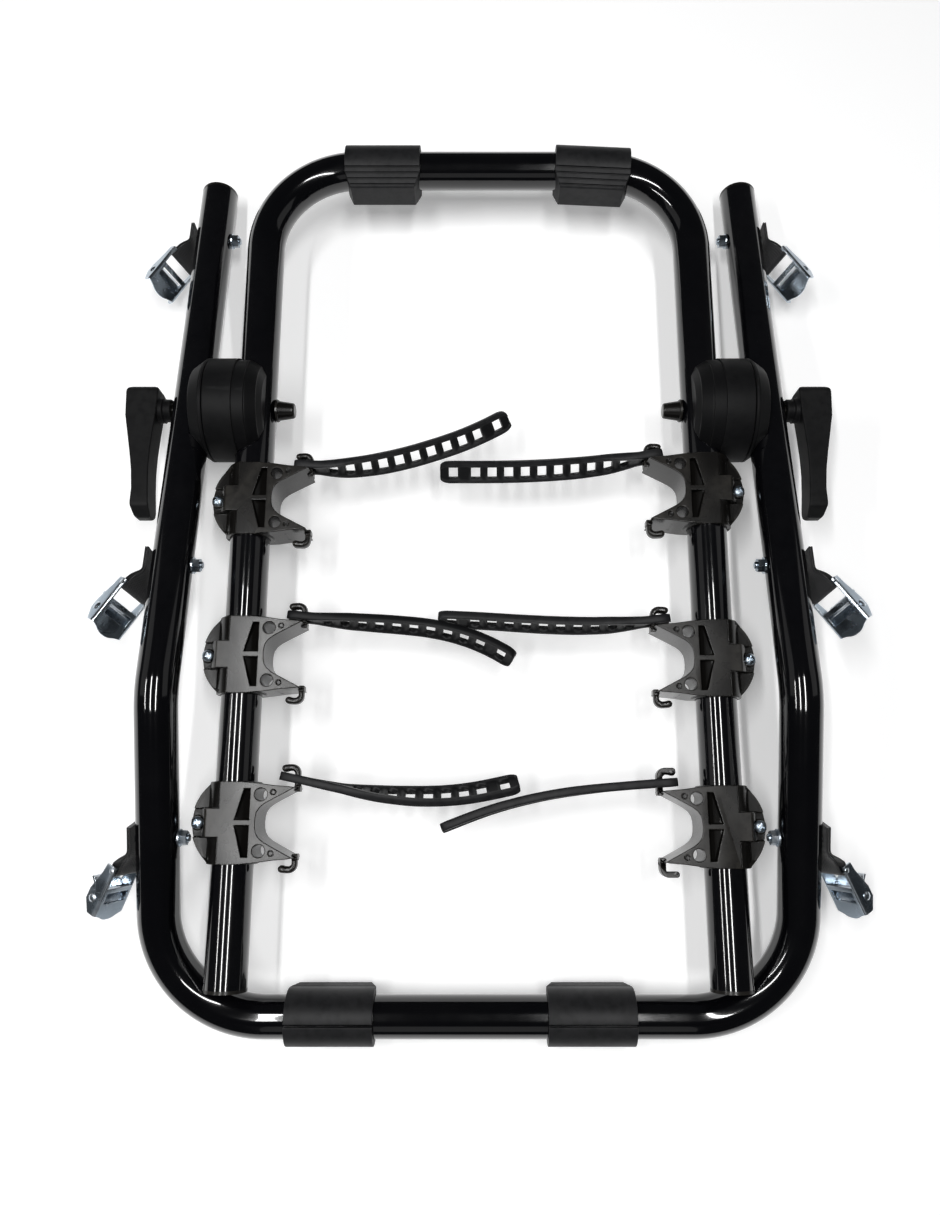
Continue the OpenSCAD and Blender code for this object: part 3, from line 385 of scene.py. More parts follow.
@dataclass(frozen=True)
class Finish:
    """One finish of the rack: colours, gloss, grain, rubbed lines and lighter edges; the lighter edges are partly a
    painted highlight.
    """

    name: str
    base: tuple[float, float, float]
    worn: tuple[float, float, float]
    roughness: float
    rough_patch: float
    grain_scale: float
    grain_depth: float
    metallic: float = 0.0
    coat: float = 0.0
    coat_roughness: float = 0.03
    specular: float = 0.5
    scuff: float = 0.2
    # edge: how much the edges are lightened, partly by rubbing and partly as a painted highlight
    edge: float = 0.3
    dust: float = 0.1
    dust_colour: tuple[float, float, float] = (0.16, 0.155, 0.15)

    def dress(self, effects: Effects) -> bpy.types.Material:
        """Builds the finish as a material.

        Args:
            effects: The shared shader groups.

        Returns:
            The new material.
        """
        material = bpy.data.materials.new(self.name)
        material.use_nodes = True
        g = Graph(material.node_tree)
        g.tree.nodes.clear()
        out = g.add("ShaderNodeOutputMaterial")
        shader = g.add("ShaderNodeBsdfPrincipled")
        g.tree.links.new(shader.outputs[0], out.inputs[0])
        place = g.add("ShaderNodeTexCoord").outputs["Object"]
        grain = self._group(g, effects.grain, place, Scale=self.grain_scale)
        scuff = self._group(g, effects.scuffs, place, Amount=self.scuff)
        edge = self._group(g, effects.edges, place, Amount=self.edge)
        dust = self._group(g, effects.dust, place, Amount=self.dust)
        # Rubbed lines and edges take the lighter colour; on edges this is partly a painted highlight
        rub_and_highlight = g.maths("MAXIMUM", edge.outputs["Mask"], g.maths("MULTIPLY", scuff.outputs["Mask"], 0.5), True)
        colour = self._mix(g, rub_and_highlight, (*self.base, 1.0), (*self.worn, 1.0))
        colour = self._mix(g, dust.outputs["Mask"], colour, (*self.dust_colour, 1.0))
        g.tree.links.new(colour, shader.inputs["Base Color"])
        rough = g.maths("ADD", g.maths("MULTIPLY", grain.outputs["Patch"], self.rough_patch), self.roughness)
        rough = g.maths("ADD", rough, g.maths("MULTIPLY", scuff.outputs["Mask"], 0.25))
        rough = g.maths("ADD", rough, g.maths("MULTIPLY", dust.outputs["Mask"], 0.4), True)
        g.tree.links.new(rough, shader.inputs["Roughness"])
        shader.inputs["Metallic"].default_value = self.metallic
        shader.inputs["Specular IOR Level"].default_value = self.specular
        shader.inputs["Coat Weight"].default_value = self.coat
        shader.inputs["Coat Roughness"].default_value = self.coat_roughness
        bump = g.add(
            "ShaderNodeBump",
            {"Strength": 0.5, "Distance": self.grain_depth * MM, "Height": grain.outputs["Height"]},
        )
        g.tree.links.new(bump.outputs[0], shader.inputs["Normal"])
        return material

    @staticmethod
    def _group(g: Graph, tree: bpy.types.NodeTree, place: bpy.types.NodeSocket, **values: float) -> bpy.types.Node:
        """Places a shared group with its own values.

        Args:
            g: The material's graph.
            tree: The group.
            place: The coordinates it reads.
            **values: Its inputs.

        Returns:
            The group node.
        """
        node = g.add("ShaderNodeGroup", node_tree=tree)
        g.tree.links.new(place, node.inputs["Vector"])
        for key, value in values.items():
            node.inputs[key].default_value = value
        return node

    @staticmethod
    def _mix(g: Graph, share: bpy.types.NodeSocket, low: object, high: object) -> bpy.types.NodeSocket:
        """A colour mixed by a mask.

        Args:
            g: The material's graph.
            share: The mask.
            low: Colour where the mask is 0.
            high: Colour where the mask is 1.

        Returns:
            The colour socket.
        """
        node = g.add("ShaderNodeMix", data_type="RGBA")
        for number, value in ((0, share), (6, low), (7, high)):
            if isinstance(value, bpy.types.NodeSocket):
                g.tree.links.new(value, node.inputs[number])
            else:
                node.inputs[number].default_value = value
        return node.outputs[2]


@dataclass(frozen=True)
class WovenFinish(Finish):
    """Black woven webbing with a soft sheen, read in its own UV map."""

    rib: float = 1.5
    wale: float = 2.0

    def dress(self, effects: Effects) -> bpy.types.Material:
        """Builds the webbing's material.

        Args:
            effects: The shared shader groups.

        Returns:
            The new material.
        """
        material = bpy.data.materials.new(self.name)
        material.use_nodes = True
        g = Graph(material.node_tree)
        g.tree.nodes.clear()
        out = g.add("ShaderNodeOutputMaterial")
        shader = g.add("ShaderNodeBsdfPrincipled", {"Sheen Weight": 0.25, "Sheen Roughness": 0.4})
        g.tree.links.new(shader.outputs[0], out.inputs[0])
        lie = g.add("ShaderNodeUVMap", uv_map="flat").outputs[0]
        weave = self._group(g, effects.weave, lie, Rib=self.rib, Wale=self.wale)
        colour = self._mix(g, weave.outputs["Shade"], (*self.base, 1.0), (*self.worn, 1.0))
        g.tree.links.new(colour, shader.inputs["Base Color"])
        g.tree.links.new(
            g.maths("ADD", g.maths("MULTIPLY", weave.outputs["Height"], -self.rough_patch), self.roughness, True),
            shader.inputs["Roughness"],
        )
        bump = g.add(
            "ShaderNodeBump",
            {"Strength": 0.9, "Distance": self.grain_depth * MM, "Height": weave.outputs["Height"]},
        )
        g.tree.links.new(bump.outputs[0], shader.inputs["Normal"])
        return material


FINISHES: dict[Slot, Finish] = {
    Slot.PAINT: Finish(
        "gloss_black_paint", (0.0012, 0.0012, 0.0018), (0.012, 0.012, 0.014), 0.1, 0.05, 260.0, 0.01,
        coat=0.75, coat_roughness=0.02, specular=0.28, scuff=0.05, edge=0.1, dust=0.005,
    ),
    # The plastic's edge amount lightens its edges, partly as a painted highlight where rounded edges catch light
    Slot.PLASTIC: Finish(
        "moulded_black_plastic", (0.0045, 0.0041, 0.0037), (0.05, 0.046, 0.04), 0.21, 0.05, 1300.0, 0.012,
        specular=0.27, scuff=0.04, edge=0.4, dust=0.01,
    ),
    Slot.RUBBER: Finish(
        "moulded_black_rubber", (0.005, 0.0052, 0.0058), (0.035, 0.035, 0.037), 0.44, 0.1, 1000.0, 0.05,
        specular=0.18, scuff=0.15, edge=0.35, dust=0.02,
    ),
    Slot.ZINC: Finish(
        "bright_zinc_steel", (0.33, 0.39, 0.45), (0.82, 0.86, 0.9), 0.17, 0.2, 420.0, 0.05,
        metallic=1.0, scuff=0.9, edge=0.8, dust=0.02,
    ),
    Slot.WEBBING: WovenFinish(
        "woven_black_webbing", (0.005, 0.005, 0.0055), (0.022, 0.022, 0.024), 0.78, 0.2, 3.0, 0.35,
    ),
}


MATT_PLASTIC = Finish(
    "matt_black_plastic", (0.0045, 0.0046, 0.005), (0.03, 0.03, 0.03), 0.46, 0.08, 1300.0, 0.04,
    specular=0.09, scuff=0.15, edge=0.3, dust=0.01,
)


# ---------------------------------------------------------------- bent tubes


@dataclass
class BentTube:
    """A round tube bent along straight runs, each corner with its own radius."""

    corners: Sequence[tuple[float, float, float]]
    radii: Sequence[float]
    radius: float = 16.0
    bore: float = 14.5
    blind: float = 22.0
    around: int = 72
    arc_step: float = 3.0

    def _stations(self) -> list[tuple[Vector, Vector]]:
        """Points and directions along the middle of the tube, ends included."""
        points = [Vector(c) for c in self.corners]
        out = [(points[0], (points[1] - points[0]).normalized())]
        for before, corner, after, bend in zip(points, points[1:], points[2:], self.radii):
            come, go = (corner - before).normalized(), (after - corner).normalized()
            turn = come.angle(go)
            cut = bend * math.tan(turn / 2)
            centre = corner - come * cut + (go - come * come.dot(go)).normalized() * bend
            axis = come.cross(go).normalized()
            count = max(4, round(math.degrees(turn) / self.arc_step))
            start = corner - come * cut - centre
            for i in range(count + 1):
                swing = Matrix.Rotation(turn * i / count, 3, axis)
                out.append((centre + swing @ start, swing @ come))
        out.append((points[-1], (points[-1] - points[-2]).normalized()))
        return out

    def _turn_in(self, bm: BMesh, edges: list, at: Vector, inward: Vector) -> None:
        """Closes one end with the rim of the wall, the bore and a floor behind the plug.

        Args:
            bm: The tube's mesh.
            edges: The edges of the ring at this end.
            at: The middle of that ring.
            inward: The direction from it into the tube.
        """
        for shrink, depth in ((self.bore / self.radius, 0.0), (1.0, self.blind)):
            made = bmesh.ops.extrude_edge_only(bm, edges=edges)["geom"]
            edges = [e for e in made if isinstance(e, bmesh.types.BMEdge)]
            ring = [v for v in made if isinstance(v, BMVert)]
            bmesh.ops.scale(bm, vec=(shrink,) * 3, space=Matrix.Translation(-at), verts=ring)
            bmesh.ops.translate(bm, vec=inward * depth, verts=ring)
        bmesh.ops.contextual_create(bm, geom=edges)

    def mesh(self) -> BMesh:
        """Draws a ring and extrudes it from station to station.

        Returns:
            The closed tube with hollow ends, in millimetres.
        """
        stations = self._stations()
        bm = bmesh.new()
        at, way = stations[0]
        ring = bmesh.ops.create_circle(bm, segments=self.around, radius=self.radius, cap_ends=False)["verts"]
        lie = Matrix.Translation(at) @ way.to_track_quat("Z", "Y").to_matrix().to_4x4()
        bmesh.ops.transform(bm, matrix=lie, verts=ring)
        edges = first = list({e for v in ring for e in v.link_edges})
        for (here, facing), (there, next_facing) in zip(stations, stations[1:]):
            made = bmesh.ops.extrude_edge_only(bm, edges=edges)["geom"]
            edges = [e for e in made if isinstance(e, bmesh.types.BMEdge)]
            ring = [v for v in made if isinstance(v, BMVert)]
            swing = facing.rotation_difference(next_facing).to_matrix().to_4x4()
            step = Matrix.Translation(there) @ swing @ Matrix.Translation(-here)
            bmesh.ops.transform(bm, matrix=step, verts=ring)
        self._turn_in(bm, first, at, way)
        self._turn_in(bm, edges, stations[-1][0], -stations[-1][1])
        bmesh.ops.recalc_face_normals(bm, faces=bm.faces[:])
        return bm


@dataclass
class TubeFrames:
    """The kinked outer frame and the flat inner frame."""

    inner_x: float = 187.0
    inner_top: float = 232.0
    inner_leg: float = 458.0
    inner_bend: float = 80.0
    outer_x: float = 242.0
    outer_head: float = 234.0
    upper_slope: float = 8.7
    lower_slope: float = 15.0
    knee: float = 246.8
    lower_leg: float = 247.4
    knee_bend: float = 70.0
    outer_bend: float = 80.0

    def _inner(self) -> BentTube:
        """The inner frame, about the hinge line."""
        x = self.inner_x
        corners = [(x, -self.inner_leg, 0), (x, self.inner_top, 0), (-x, self.inner_top, 0), (-x, -self.inner_leg, 0)]
        return BentTube(corners, (self.inner_bend, self.inner_bend))

    def _outer(self) -> BentTube:
        """The outer frame, about the hinge line."""
        up, down = math.radians(self.upper_slope), math.radians(self.lower_slope)
        head = (self.outer_head * math.cos(up), -self.outer_head * math.sin(up))
        knee = (-self.knee * math.cos(up), self.knee * math.sin(up))
        foot = (knee[0] - self.lower_leg * math.cos(down), knee[1] - self.lower_leg * math.sin(down))
        half = [(self.outer_x, y, z) for y, z in (head, knee, foot)]
        corners = half + [(-x, y, z) for x, y, z in reversed(half)]
        return BentTube(corners, (self.knee_bend, self.outer_bend, self.outer_bend, self.knee_bend))

    def build(self, finish: bpy.types.Material) -> None:
        """Makes and fits both frames.

        Args:
            finish: The paint's material.
        """
        for word, tube in (("outer", self._outer()), ("inner", self._inner())):
            obj = new_piece(f"{word}_tube", tube.mesh(), HINGE, finish)
            fit(obj, f"{word}_rack", [f"{word}_frame"])


# ---------------------------------------------------------------- bent bands


@dataclass
class Band:
    """A centre line walked with a list of headings, then leaned about its own length."""

    way: Sequence[float]
    lean: Sequence[float]
    length: float
    hold: float
    steps: int = 248
    line: list[tuple[float, float]] = field(default_factory=list)

    def __post_init__(self) -> None:
        """Walks the line once."""
        step = self.length / self.steps
        x = y = 0.0
        self.line = [(x, y)]
        for i in range(self.steps):
            heading = math.radians(self._pick(self.way, self._bent((i + 0.5) * step)))
            x, y = x + step * math.cos(heading), y + step * math.sin(heading)
            self.line.append((x, y))

    def _bent(self, u: float) -> float:
        """Share of the bending stretch that lies behind u; the first part stays straight."""
        return (u - self.hold) / (self.length - self.hold)

    @staticmethod
    def _pick(values: Sequence[float], t: float) -> float:
        """A value between the entries of a list, t from 0 to 1."""
        q = max(0.0, min(0.9999, t)) * (len(values) - 1)
        i = int(q)
        return values[i] + (q - i) * (values[i + 1] - values[i])

    def spot(self, u: float, v: float, w: float) -> Vector:
        """Where a point of the flat band lies once it is bent.

        Args:
            u: Along the band.
            v: Out of its face.
            w: Across it.

        Returns:
            The bent point, in millimetres.
        """
        inside = max(0.0, min(self.length, u))
        q = min(self.steps - 0.001, inside / self.length * self.steps)
        i = int(q)
        a, b = self.line[i], self.line[i + 1]
        heading = math.radians(self._pick(self.way, self._bent(inside)))
        lean = math.radians(self._pick(self.lean, self._bent(inside)))
        past = u - inside
        x = a[0] + (q - i) * (b[0] - a[0]) + past * math.cos(heading)
        y = a[1] + (q - i) * (b[1] - a[1]) + past * math.sin(heading)
        out = v * math.cos(lean) + w * math.sin(lean)
        return Vector((x - out * math.sin(heading), y + out * math.cos(heading), w * math.cos(lean) - v * math.sin(lean)))


def spaced_grid(columns: Sequence[float], rows: Sequence[float]) -> BMesh:
    """A flat grid with its own spacing of columns and rows.

    Args:
        columns: The X of each column, in millimetres.
        rows: The Y of each row.

    Returns:
        The mesh; each point carries its number of column and row.
    """
    bm = bmesh.new()
    nx, ny = len(columns), len(rows)
    bmesh.ops.create_grid(bm, x_segments=nx - 1, y_segments=ny - 1, size=1.0)
    at_column, at_row = bm.verts.layers.int.new("column"), bm.verts.layers.int.new("row")
    for point in bm.verts:
        i = round((point.co.x + 1.0) / 2.0 * (nx - 1))
        j = round((point.co.y + 1.0) / 2.0 * (ny - 1))
        point[at_column], point[at_row] = i, j
        point.co = Vector((columns[i], rows[j], 0.0))
    return bm


# ---------------------------------------------------------------- ladder straps


@dataclass
class LadderStrap:
    """A rubber strap with a ladder of square holes, hooked by its first hole."""

    width: float = 19.0
    thick: float = 6.5
    pitch: float = 13.8
    hole: float = 7.5
    hole_width: float = 10.0
    end_gap: float = 18.5
    tab: float = 14.0
    tip: float = 11.0
    holes: int = 10
    edge: float = 0.7
    hook_x: float = 47.8
    hook_y: float = 32.4

    @property
    def length(self) -> float:
        """Whole length of the strap."""
        return self.tab + 2 * self.end_gap + (self.holes - 1) * self.pitch + self.tip

    @property
    def hole_at(self) -> list[float]:
        """Where the middle of each hole is along the strap."""
        ladder = [self.tab + self.end_gap + i * self.pitch for i in range(self.holes)]
        return [self.tab, *ladder, self.length - self.tip]

    def _taper(self, u: float) -> float:
        """How far the outline is drawn in near the round ends."""
        reach = self.width * 0.42
        e = min(u, self.length - u)
        return 1.0 if e >= reach else 0.52 + 0.48 * math.sqrt(max(0.0, 1 - (1 - e / reach) ** 2))

    def _columns(self) -> list[float]:
        """Column positions: round ends, both ends and the middle of every hole, and the rungs' middles."""
        marks = {0.0, self.length}
        for k in (0.35, 1.2, 2.6, 4.6, 7.2):
            marks |= {k, self.length - k}
        spots = self.hole_at
        for h in spots:
            marks |= {h - self.hole / 2, h, h + self.hole / 2}
        for a, b in zip(spots, spots[1:]):
            gap = b - a - self.hole
            parts = 2 if gap < 8 else 4
            marks |= {a + self.hole / 2 + gap * k / parts for k in range(1, parts)}
        return sorted(round(m, 4) for m in marks if 0 <= m <= self.length)

    def mesh(self, band: Band) -> BMesh:
        """Builds the strap along its bent line.

        Args:
            band: The line it follows.

        Returns:
            The strap's mesh, in millimetres, with its hooked end at the origin.
        """
        hw, hh, ht = self.width / 2, self.hole_width / 2, self.thick / 2
        lip = self.thick * 0.16
        rows = [-hw, -hw + lip, -hh - lip, -hh, hh, hh + lip, hw - lip, hw]
        tall = [ht - 1.4 * lip, ht, ht, ht - lip, ht - lip, ht, ht, ht - 1.4 * lip]
        bm = spaced_grid(self._columns(), rows)
        row = bm.verts.layers.int["row"]
        gone = [f for f in bm.faces if self._in_hole(f)]
        bmesh.ops.delete(bm, geom=gone, context="FACES")
        made = bmesh.ops.extrude_face_region(bm, geom=bm.faces[:], use_keep_orig=True)["geom"]
        upper = {p for p in made if isinstance(p, BMVert)}
        for point in bm.verts:
            point.co.z = tall[point[row]] * (1 if point in upper else -1)
        close_up(bm)
        round_edges(bm, self.edge, segments=2, angle=55.0)
        for point in bm.verts:
            u, w, v = point.co
            point.co = band.spot(u, v, w * self._taper(u))
        close_up(bm)
        return bm

    def _in_hole(self, face: BMFace) -> bool:
        """Whether a flat face lies in one of the holes."""
        middle = face.calc_center_median()
        near = min(abs(middle.x - h) for h in self.hole_at)
        return near < self.hole / 2 and abs(middle.y) < self.hole_width / 2

    def place(self, heading: float) -> Matrix:
        """Moves the strap's first hole onto the hook, in the cradle's frame.

        Args:
            heading: The strap's first heading, in degrees.

        Returns:
            The placement, in millimetres.
        """
        out = moved(self.hook_x, self.hook_y, 0) @ turned(heading, "Z")
        return out @ moved(-self.tab, 0, 0) @ turned(-heading, "Z")


@dataclass
class StrapRow:
    """All six straps, with the way each one happens to lie."""

    strap: LadderStrap = field(default_factory=LadderStrap)
    leg_x: float = 187.0
    cradle_y: dict[Side, tuple[float, ...]] = field(
        default_factory=lambda: {Side.LEFT: (-83.0, -211.0, -339.0), Side.RIGHT: (-74.5, -214.0, -342.0)}
    )
    way: dict[Side, tuple[tuple[float, ...], ...]] = field(
        default_factory=lambda: {
            Side.LEFT: ((-4, 6, 12, 17, 20, 26, 31), (-6, -4, -4, -6, -14, -24, -34), (-12, -10, -6, -2, 4, 11, 13)),
            Side.RIGHT: ((-11, -9, -5, -3, -1, 0, 0), (-7, -3, 1, 3, 4, 3, 3), (-4, -5, -7, -11, -15, -20, -22)),
        }
    )
    lean: dict[Side, tuple[tuple[float, ...], ...]] = field(
        default_factory=lambda: {
            Side.LEFT: ((0, 30, 42, 44, 44, 44, 44), (0, 18, 24, 26, 28, 30, 32), (0, -6, -26, -40, -44, -45, -45)),
            Side.RIGHT: ((0, 32, 42, 44, 44, 44, 44), (0, 18, 22, 22, 20, 20, 18), (0, 0, 2, 3, 4, 5, 6)),
        }
    )

    def build(self, finish: bpy.types.Material) -> None:
        """Makes and fits the six straps.

        Args:
            finish: The rubber's material.
        """
        for side in Side:
            for i in range(3):
                hold = self.strap.tab + self.strap.hole
                way = self.way[side][i]
                band = Band(way, self.lean[side][i], self.strap.length, hold)
                place = moved(-self.leg_x, self.cradle_y[side][i], 0) @ self.strap.place(way[0])
                if side is Side.RIGHT:
                    place = flipped() @ place
                name = f"{side.word}_{i + 1}"
                obj = new_piece(f"ladder_strap_{name}", self.strap.mesh(band), HINGE @ place, finish)
                fit(obj, f"strap_band_{name}", [f"strap_{name}"])


# ---------------------------------------------------------------- hangers on the outer legs


@dataclass
class OuterLeg:
    """The kinked outer leg: where a hanger bolt crosses it."""

    x: float = 242.0
    upper_slope: float = 8.7
    lower_slope: float = 15.0
    knee: float = 246.8
    bolts: tuple[float, float, float] = (181.5, -142.6, -110.0)

    def at_bolt(self, i: int) -> Matrix:
        """The frame of a hanger bolt on the right leg.

        Args:
            i: Which bolt, from the top.

        Returns:
            The placement about the hinge line, in millimetres.
        """
        if i < 2:
            return turned(-self.upper_slope, "X") @ moved(self.x, self.bolts[i], 0)
        slope = math.radians(self.upper_slope)
        knee = moved(0, -self.knee * math.cos(slope), self.knee * math.sin(slope))
        return knee @ turned(self.lower_slope, "X") @ moved(self.x, self.bolts[i], 0)


@dataclass
class WebbingLoop:
    """A doubled length of webbing from a hanger bolt round the buckle's bar."""

    width: float = 24.0
    thick: float = 1.5
    tail: float = 11.0
    reach: float = 25.0
    tube_r: float = 16.0
    gap: float = 0.1
    bar_r: float = 2.0
    free: float = 0.4
    nut_d: float = 11.5
    bolt_r: float = 3.04

    @property
    def total(self) -> float:
        """From the end of the tail to the buckle's bar."""
        return self.tail + self.reach

    @property
    def off(self) -> float:
        """Middle of the pair of layers, from the middle of the tube."""
        return self.tube_r + 2 * self.gap + self.thick

    @property
    def bight(self) -> float:
        """Radius of the loop round the bar, at the middle of the band."""
        return self.bar_r + 2 * self.free + self.thick / 2

    def band(self, turn: float, lean: float) -> Band:
        """The line of the loop.

        Args:
            turn: How far it swings away from the leg, in degrees.
            lean: How far it twists about its length, in degrees.

        Returns:
            The bent band.
        """
        hold = self.tail + self.nut_d / 2 + self.free
        return Band((0, turn, turn, turn, turn), (0, 0.15 * lean, 0.65 * lean, lean, lean), self.total, hold)

    def bar(self, turn: float) -> Matrix:
        """Where the middle of the buckle's bar is, in the frame of the bolt."""
        x, y = self.band(turn, 0.0).line[-1]
        return moved(self.off + y, self.tail - x, 0)

    def _path(self) -> list[tuple[float, float]]:
        """The folded band seen from its edge: along the loop, and out from its middle."""
        lay = self.thick / 2 + self.gap / 2
        leg: list[tuple[float, float]] = []
        count = 30
        for i in range(count + 1):
            t = i / count
            k = max(0.0, min(1.0, (t - 0.55) / 0.33))
            leg.append((self.total * t, lay + (self.bight - lay) * k))
        turn = [
            (self.total + self.bight * math.sin(math.radians(a)), self.bight * math.cos(math.radians(a)))
            for a in range(12, 180, 12)
        ]
        return leg + turn + [(u, -o) for u, o in reversed(leg)]

    def mesh(self, turn: float, lean: float) -> BMesh:
        """Builds the webbing with its flat UV map.

        Args:
            turn: How far it swings away from the leg, in degrees.
            lean: How far it twists about its length, in degrees.

        Returns:
            The mesh in the frame of the hanger bolt, in millimetres.
        """
        path = self._path()
        band = self.band(turn, lean)
        run = [0.0]
        for a, b in zip(path, path[1:]):
            run.append(run[-1] + math.dist(a, b))
        hw = self.width / 2
        rows = [-hw, -hw + 0.5, *(-hw + 1.6 + k * (self.width - 3.2) / 12 for k in range(13)), hw - 0.5, hw]
        bm = spaced_grid(run, rows)
        column = bm.verts.layers.int["column"]
        uv = bm.loops.layers.uv.new("flat")
        for face in bm.faces:
            for corner in face.loops:
                corner[uv].uv = corner.vert.co.xy
        legs = (self.tail, run[-1] - self.tail)
        gone = [
            f
            for f in bm.faces
            if min((f.calc_center_median() - Vector((u, 0, 0))).length for u in legs) < self.bolt_r + 0.9
        ]
        bmesh.ops.delete(bm, geom=gone, context="FACES")
        made = bmesh.ops.extrude_face_region(bm, geom=bm.faces[:], use_keep_orig=True)["geom"]
        upper = {p for p in made if isinstance(p, BMVert)}
        for point in bm.verts:
            i = point[column]
            w = point.co.y
            a, b = path[max(0, i - 1)], path[min(len(path) - 1, i + 1)]
            du, do = b[0] - a[0], b[1] - a[1]
            size = math.hypot(du, do)
            edge = 0.55 if abs(w) > hw - 0.1 else 0.92 if abs(w) > hw - 0.9 else 1.0
            h = (1 if point in upper else -1) * self.thick / 2 * edge
            q = band.spot(path[i][0] - do / size * h, path[i][1] + du / size * h, w)
            point.co = Vector((self.off + q.y, self.tail - q.x, q.z))
        bmesh.ops.recalc_face_normals(bm, faces=bm.faces[:])
        return bm


@dataclass
class StampedBuckle:
    """A cam buckle folded from steel sheet, drawn about its webbing bar, with its length along -Y."""

    width: float = 30.0
    sheet: float = 1.8
    back: float = 2.0
    bend: float = 2.3
    window: tuple[float, float, float] = (-14.5, -0.3, 12.4)
    cam_opening: tuple[float, float, float] = (-27.0, -18.5, 10.7)
    walls: tuple[tuple[float, float], ...] = ((3.4, 8.0), (-4.0, 9.0), (-20.0, 14.0), (-28.0, 14.0), (-37.0, 8.0))
    tongue_y: float = -27.0
    tongue_r: float = 14.4
    bar_r: float = 2.0
    pin: tuple[float, float] = (-6.2, -25.0)
    pin_r: float = 2.2
    cam_r: float = 5.6
    tooth: float = 1.2
    thumb: float = 16.0
    thumb_turn: float = 128.0
    side_gap: float = 0.4
    run: float = 0.08

    def _wall(self, y: float) -> float:
        """How far the side walls stand off the back of the base plate at a height."""
        for (y0, d0), (y1, d1) in zip(self.walls, self.walls[1:]):
            if y1 <= y <= y0:
                return d0 + (d1 - d0) * (y0 - y) / (y0 - y1)
        return self.walls[-1][1]

    def _fold(self, s: float, y: float, inner: bool) -> Vector:
        """Folds a point of the flat sheet.

        Args:
            s: Across the sheet, from its middle; past 2 it runs up the side wall, from 2 to 3.
            y: Along the buckle.
            inner: Whether the point is on the inner face.

        Returns:
            The folded point.
        """
        flat = self.width / 2 - self.bend
        sign, size = (1.0 if s >= 0 else -1.0), abs(s)
        r = self.bend - (self.sheet if inner else 0.0)
        if size <= 1.0:
            x, z = self.back - (self.sheet if inner else 0.0), flat * size
        elif size <= 2.0:
            turn = (size - 1.0) * math.pi / 2
            x, z = self.back - self.bend + r * math.cos(turn), flat + r * math.sin(turn)
        else:
            x = self.back - self.bend - (size - 2.0) * (self._wall(y) - self.bend)
            z = flat + r
        return Vector((x, y, sign * z))

    def channel(self) -> BMesh:
        """The folded sheet with its windows and its rounded lower end."""
        flat = self.width / 2 - self.bend
        marks = [3.4, 1.4, -0.3, -2.0, -4.0, -7.5, -11.0, -14.5, -16.5, -18.5, -20.0, -22.5, -25.0, -27.0, -28.0]
        marks += [-31.0, -34.0, -37.0, -38.6, -39.9, -40.8, -41.35]
        half = [0.25, 0.5, self.cam_opening[2] / flat, self.window[2] / flat, 1.0, 1.33, 1.67, 2.0, 2.3, 2.65, 3.0]
        rows = [-h for h in reversed(half)] + [0.0] + half
        bm = spaced_grid(marks, rows)
        gone = []
        for face in bm.faces:
            middle = face.calc_center_median()
            y, s = middle.x, abs(middle.y)
            low, high, edge = self.window
            cut = low < y < high and s < edge / flat
            low, high, edge = self.cam_opening
            cut = cut or (low < y < high and s < edge / flat)
            if cut or (y < -37.0 and s > 1.0):
                gone.append(face)
        bmesh.ops.delete(bm, geom=gone, context="FACES")
        made = bmesh.ops.extrude_face_region(bm, geom=bm.faces[:], use_keep_orig=True)["geom"]
        inner = {p for p in made if isinstance(p, BMVert)}
        for point in bm.verts:
            y, s = point.co.x, point.co.y
            if y > 3.0 and abs(s) <= 1.0:
                y = 2.8
            spot = self._fold(s, y, point in inner)
            if y < -37.5:
                spot.z = s * min(flat, math.sqrt(max(4.0, self.tongue_r**2 - (y - self.tongue_y) ** 2)))
            point.co = spot
        close_up(bm)
        round_edges(bm, 0.3, segments=2, angle=55.0)
        return bm

    def _rod(self, bm: BMesh, x: float, y: float, profile: Sequence[tuple[float, float]]) -> None:
        """Adds a turned rod across the buckle.

        Args:
            bm: The mesh it joins.
            x: Its axis.
            y: Its axis.
            profile: Its outline as (across, radius), closed at both ends.
        """
        points = [bm.verts.new((x + r, y, z)) for z, r in profile]
        edges = [bm.edges.new(pair) for pair in zip(points, points[1:])]
        made = bmesh.ops.spin(
            bm, geom=points + edges, cent=(x, y, 0.0), axis=(0.0, 0.0, 1.0), angle=math.tau, steps=32, use_merge=True
        )
        del made

    def body(self) -> BMesh:
        """The channel with its webbing bar and its riveted pin."""
        bm = self.channel()
        hw = self.width / 2
        bar = [(-hw - 0.3, 0.0), (-hw - 0.3, 1.5), (-hw, 1.95), (hw, 1.95), (hw + 0.3, 1.5), (hw + 0.3, 0.0)]
        self._rod(bm, 0.0, 0.0, bar)
        end, r = hw + 1.1, self.pin_r
        half = [(hw, r), (hw, r * 1.42), (hw + 0.45, r * 1.42), (end - 0.2, r * 1.05), (end, r * 0.55), (end, 0.0)]
        pin = [(-z, q) for z, q in reversed(half)] + half
        self._rod(bm, *self.pin, pin)
        close_up(bm)
        return bm

